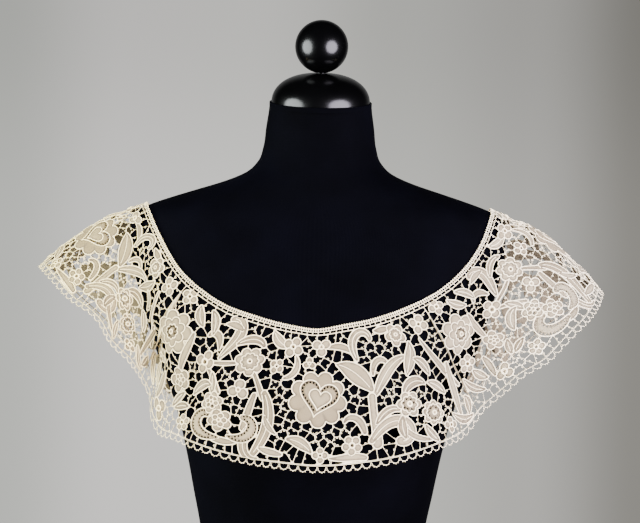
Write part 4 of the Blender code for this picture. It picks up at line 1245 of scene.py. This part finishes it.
def turned(name, profile, steps):
    # solid turned round the cap's tilted axis, from a profile of radius and height
    tilt = Matrix.Translation((0, 0, form["capSeat"])) @ Matrix.Rotation(form["capTilt"], 4, "X")
    points, faces = [], []
    per = len(profile) - 2
    top, bottom = steps * per, steps * per + 1
    for i in range(steps):
        turn = 2 * math.pi * i / steps
        points += [tilt @ Vector((r * math.cos(turn), r * math.sin(turn), z)) for r, z in profile[1:-1]]
        a, b = i * per, (i + 1) % steps * per
        faces.append((top, a, b))
        faces += [(a + j, a + j + 1, b + j + 1, b + j) for j in range(per - 1)]
        faces.append((a + per - 1, bottom, b + per - 1))
    points += [tilt @ Vector((0, 0, profile[0][1])), tilt @ Vector((0, 0, profile[-1][1]))]
    return meshObject(name, points, faces, lacquer, sharp=40)


def buildCap():
    fuller = 2 / form["capFullness"]
    radius = form["capRadius"]
    dome = [(radius * math.cos(a)**fuller, form["capRim"] + form["capDome"] * math.sin(a)**fuller)
            for a in np.radians(np.linspace(90, 0, form["capSteps"][1]))]
    foot = [(radius, 1.0), (radius - 0.4, 0.2), (radius - 1.2, 0.0), (0.0, 0.0)]
    return turned("neckCap", dome + foot, form["capSteps"][0])


def buildBall():
    radius, dowel = form["ballRadius"], form["dowelRadius"]
    ball = [(radius * math.sin(a), form["ballCentre"] + radius * math.cos(a))
            for a in np.linspace(0, math.pi - math.asin(dowel / radius), form["ballSteps"][1])]
    foot = form["capRim"] + form["capDome"] + form["seatGap"]
    return turned("ballFinial", ball + [(dowel, foot), (0.0, foot)], form["ballSteps"][0])


def settle(item, slot, *replaced):
    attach(item, "root")
    if replaced:
        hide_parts(*replaced)
    return item


torso = settle(buildTorso(), "navy_jersey", "form_torso")
settle(buildCap(), "black_lacquer", "neck_cap")
settle(buildBall(), "black_lacquer", "ball_finial")
print("dress form ready")


# Threads: the cord round every motif, in the order in which the motifs lie

cords = {
    "motifRadius": 0.48,
    "innerRadius": 0.36,
    "innerRise": 0.15,
    "step": 1.0,
    "rise": 0.35,
    "sides": 5,
}


def runsOf(line, shown, closed):
    # the stretches of a line that show
    if shown.all():
        return [(line, closed)]
    if not shown.any():
        return []
    if closed:
        first = int(np.nonzero(~shown)[0][0])
        line, shown = np.roll(line, -first, axis=0), np.roll(shown, -first)
    turns = np.flatnonzero(np.diff(np.r_[False, shown, False]))
    return [(line[start:end], False) for start, end in zip(turns[::2], turns[1::2]) if end - start > 2]


def flatCords(motifs):
    # what shows of every cord, in the flat: points, height, radius, closed
    found = []
    for order, motif in enumerate(motifs):
        if not motif.own:
            continue
        height = lace["middle"] + lace["half"] + cords["rise"] + motif.layer * lace["layerRise"]
        lines = [(motif.outline, height, cords["motifRadius"], True)]
        for line in motif.inner + ([] if motif.vein is None else [motif.vein]):
            lines.append((line, height + cords["innerRise"], cords["innerRadius"], False))
        for line, height, radius, isOutline in lines:
            line = walk(line, cords["step"], isOutline)
            shown = np.ones(len(line), bool)
            for later in motifs[order + 1:]:
                near = boxed(line, later.outline)
                shown[near[inside(line[near], later.outline)]] = False
            if isOutline:
                depth = unflat(line)[1]
                shown &= (depth < cut["edgeLine"] + 1) & (depth > cut["bandDepth"] - 1)
            found += [(run, height, radius, closed) for run, closed in runsOf(line, shown, isOutline)]
    return found


# Picots: tiny rings on the bars, half of them on either side

picots = {
    "radius": 0.78,
    "share": 0.3,
    "corners": 7,
    "chance": 0.85,
    "reach": 1.6,
    "height": 0.25,
    "outlineRoom": 1.2,
    "seat": 0.75,      # share of the radius that stands off the bar
    "neighbours": 8,
}


def barPicots(piece, seeds, marks):
    random = np.random.default_rng(piece.seed + 100)
    tree, outlines = treeOf(seeds), treeOf(marks)
    found = []
    for i, seed in enumerate(seeds):
        for _, j, apart in tree.find_n((*seed, 0), picots["neighbours"]):
            if j <= i or apart > net["cell"] * picots["reach"]:
                continue
            towards = (seeds[j] - seed) / apart
            middle = (seeds[j] + seed) / 2
            ownBar = tree.find((*middle, 0))[2] > apart / 2 - 0.15
            crowded = outlines.find((*middle, 0))[2] < picots["outlineRoom"]
            if not ownBar or crowded or random.random() > picots["chance"]:
                continue
            off = net["bar"] / 2 + picots["radius"] * picots["seat"]
            found.append(middle + towards * off * random.choice((-1, 1)))
    return draped(middleAngle(piece), np.array(found), lace["middle"] + picots["height"])


# Couronnes: thick little rings sewn on the middles of the flowers

couronnes = {"share": 0.27, "threadShare": 0.3, "least": 1.5, "corners": 14, "rise": 0.25}


def flowerRings(piece, motifs):
    shown = [motif for order, motif in enumerate(motifs)
             if motif.own and getattr(motif.row, "petals", 0)
             and not any(inside(motif.centre[None], later.outline)[0] for later in motifs[order + 1:])]
    level = lace["middle"] + lace["half"] + lace["clothLevel"] + lace["clothDome"] + couronnes["rise"]
    places, outward = draped(middleAngle(piece), np.array([motif.centre for motif in shown]),
                             level + lace["layerRise"] * np.array([motif.layer for motif in shown]))
    radii = [max(couronnes["least"], motif.row.radius * couronnes["share"]) for motif in shown]
    return places, outward, np.array(radii)


# Hem edging: a cord along the hem, a buttonholed loop for each scallop, and picots

edging = {
    "cordDepth": 133.7,
    "cordRadius": 0.28,
    "loopTop": 134.6,
    "loopReach": 5.0,
    "loopShare": 0.46,
    "loopRadius": 0.21,
    "loopSteps": 11,
    "picotRadius": 0.34,
    "picotShare": 0.36,
    "picots": (0.18, 0.34, 0.5, 0.66, 0.82),  # as shares of the loop
    "height": 1.0,
    "scallops": 48,
    "sides": 5,
}


def hemEdging(piece):
    half, middle = cut["pieceHalf"], middleAngle(piece)
    pitch = 2 * half / edging["scallops"]
    angles = np.linspace(-half, half, edging["scallops"] * 4 + 1)
    runs = [(onCollar(middle + angles, edging["cordDepth"], edging["height"]), edging["cordRadius"], False)]
    bow = np.linspace(0, math.pi, edging["loopSteps"])
    swing = np.array(edging["picots"]) * math.pi
    reach = 1 + (edging["picotRadius"] + edging["loopRadius"]) / edging["loopReach"]
    rings = []
    for centre in middle - half + (np.arange(edging["scallops"]) + 0.5) * pitch:
        for turn, share in ((bow, 1), (swing, reach)):
            line = onCollar(centre - np.cos(turn) * pitch * edging["loopShare"] * share,
                             edging["loopTop"] + np.sin(turn) * edging["loopReach"] * share, edging["height"])
            if turn is bow:
                runs.append((line, edging["loopRadius"], False))
            else:
                rings.append(line)
    places, outward = (np.concatenate(part) for part in zip(*rings))
    return runs, places, outward


# Neck band: a narrow braid of close stitches, and under it an open row of short bars

band = {
    "lines": ((0.9, 0.36), (3.7, 0.3), (6.8, 0.3)),             # depth and radius
    "rows": ((-0.1, 3.7, 0.9, 0.4), (3.7, 6.8, 2.0, 0.27)),     # depths, pitch in degrees, radius
    "height": 0.9,
    "lineStep": 0.5,
    "sides": 6,
}


def neckBand():
    angles = np.arange(-180, 180, band["lineStep"])
    runs = [(onCollar(angles, depth, band["height"]), radius, True) for depth, radius in band["lines"]]
    for first, last, pitch, radius in band["rows"]:
        depth = np.linspace(first, last, 4)
        runs += [(onCollar(angle, depth, band["height"]), radius, False)
                 for angle in np.arange(-180, 180 - pitch / 2, pitch)]
    return threadObject("neckBand", runs, band["sides"])


motifs = motifsOfPiece()
border = pieceBorder()
marks = outlineMarks(motifs, border)
eyes, cordLines = eyeletGaps(motifs), flatCords(motifs)
settle(neckBand(), "cotton_braid", "neck_band")
print("neck band ready")
for piece in pieceRows:
    gaps, seeds = netGaps(motifs, marks, piece.seed)
    plate, area = buildPlate(piece, motifs, gaps + eyes)
    settle(plate, "cream_cotton", piece.node)
    runs, *hemRings = hemEdging(piece)
    cordRuns = [(draped(middleAngle(piece), line, height), radius, closed)
                for line, height, radius, closed in cordLines]
    trims = [
        threadObject(piece.name + "Cords", cordRuns, cords["sides"]),
        ringObject(piece.name + "Picots", *barPicots(piece, seeds, marks), picots["radius"],
                   picots["corners"], picots["share"]),
        ringObject(piece.name + "Couronnes", *flowerRings(piece, motifs), couronnes["corners"],
                   couronnes["threadShare"]),
        threadObject(piece.edging, runs, edging["sides"]),
        ringObject(piece.edging + "Picots", *hemRings, edging["picotRadius"], picots["corners"],
                   edging["picotShare"]),
    ]
    for trim in trims:
        settle(trim, "cotton_braid", *([piece.edgingNode] if trim.name == piece.edging else []))
    print(piece.name, "gaps", len(gaps), "triangles",
          [sum(len(p.vertices) - 2 for p in item.data.polygons) for item in [plate] + trims])


# Stage, light and camera

stage = {
    "floorTone": (0.36, 0.36, 0.35),
    "floorWhole": 0.65,
    "floorEnd": 1.4,
    # painted light on the backdrop, from the viewer's left to the right
    "backdropLight": [(0.0, (0.63, 0.64, 0.6)), (0.2, (0.9, 0.88, 0.85)), (0.38, (0.9, 0.89, 0.85)),
              (0.62, (0.66, 0.66, 0.62)), (0.82, (0.54, 0.53, 0.5)), (1.0, (0.29, 0.28, 0.255))],
    "halfAcross": 0.123,
    "topLightShare": 0.74,
    "backdropGloss": 0.35,
    "ambient": 0.16,
}


def buildFloor():
    material, tree, shader, place = startMaterial("paleFloor")
    item = meshObject("floor", [(-3000, -4000, 0), (3000, -4000, 0), (3000, 1700, 0), (-3000, 1700, 0)],
                      [(0, 1, 2, 3)], material)
    grain = put(tree, "ShaderNodeTexNoise", Scale=6.0, Detail=4.0, Vector=place)
    tone = stage["floorTone"]
    fade = put(tree, "ShaderNodeMapRange", interpolation_type="SMOOTHSTEP", From_Min=stage["floorWhole"],
               From_Max=stage["floorEnd"], To_Min=1.0, To_Max=0.0,
               Value=put(tree, "ShaderNodeVectorMath", operation="LENGTH", in0=place))
    feed(tree, shader, Roughness=0.9, Alpha=fade,
         Base_Color=ramp(tree, grain, [(0.0, [c * 0.95 for c in tone]), (1.0, tone)]))
    item.visible_glossy = False


def buildBackground():
    world = bpy.data.worlds.new("studio")
    bpy.context.scene.world = world
    world.use_nodes = True
    tree = world.node_tree
    place = put(tree, "ShaderNodeTexCoord").outputs["Generated"]
    way = put(tree, "ShaderNodeSeparateXYZ", Vector=place).outputs
    across = put(tree, "ShaderNodeMapRange", From_Min=-stage["halfAcross"], From_Max=stage["halfAcross"],
                 Value=way["X"])
    # painted light: the backdrop the camera sees is brightest a little left of the middle and darker to the
    # right and upwards, as light falls off across a wall
    tone = ramp(tree, across, stage["backdropLight"])
    tone.color_ramp.interpolation = "EASE"
    up = put(tree, "ShaderNodeMapRange", interpolation_type="SMOOTHSTEP", From_Min=0.0, From_Max=0.1,
             To_Min=1.0, To_Max=stage["topLightShare"], Value=way["Z"])
    dimmed = put(tree, "ShaderNodeVectorMath", operation="SCALE", in0=tone, Scale=up)
    ray = put(tree, "ShaderNodeLightPath").outputs
    behind = put(tree, "ShaderNodeMapRange", From_Min=0.62, From_Max=0.98, To_Max=stage["backdropGloss"],
                 Value=way["Y"])
    glossy = put(tree, "ShaderNodeMix", data_type="RGBA", A=(stage["ambient"],) * 3 + (1,), B=behind,
                 Factor=ray["Is Glossy Ray"])
    seen = put(tree, "ShaderNodeMix", data_type="RGBA", A=glossy, B=dimmed, Factor=ray["Is Camera Ray"])
    feed(tree, tree.nodes["Background"], Color=seen)


softBox = namedtuple("softBox", "name place width height power tint gloss")
softBoxes = [
    softBox("softBoxLeft", (-1.46, -0.65, 0.52), 1.4, 1.45, 146, (0.94, 1.0, 1.0), True),
    softBox("softBoxRight", (1.13, -1.13, 0.52), 1.5, 1.45, 182, (0.98, 0.93, 1.08), True),
    softBox("softBoxTop", (0.0, -0.9, 2.1), 1.2, 1.0, 80, (1.0, 1.0, 1.0), False),
    softBox("softBoxBack", (-0.5, 2.2, 1.3), 1.6, 1.2, 75, (1.0, 1.0, 1.0), False),
]


def inScene(name, data, place, turn):
    item = bpy.data.objects.new(name, data)
    item.location = place
    item.rotation_euler = turn.to_euler()
    bpy.context.scene.collection.objects.link(item)
    return item


def buildLights():
    for row in softBoxes:
        light = bpy.data.lights.new(row.name, "AREA")
        light.shape = "ELLIPSE"
        light.size, light.size_y = row.width, row.height
        light.energy, light.color = row.power, row.tint
        turn = (Vector((0, 0, 0.5)) - Vector(row.place)).to_track_quat("-Z", "Y")
        inScene(row.name, light, row.place, turn).visible_glossy = row.gloss


view = {"place": (0.0024, -2.6, 0.4615), "lens": 146.25, "sensor": 36.0, "lean": math.radians(1.1)}


def buildCamera():
    data = bpy.data.cameras.new("camera")
    data.lens, data.sensor_width = view["lens"], view["sensor"]
    turn = Matrix.Rotation(math.pi / 2, 3, "X") @ Matrix.Rotation(view["lean"], 3, "Z")
    bpy.context.scene.camera = inScene("camera", data, view["place"], turn)


buildFloor()
buildBackground()
buildLights()
buildCamera()
print("stage ready")
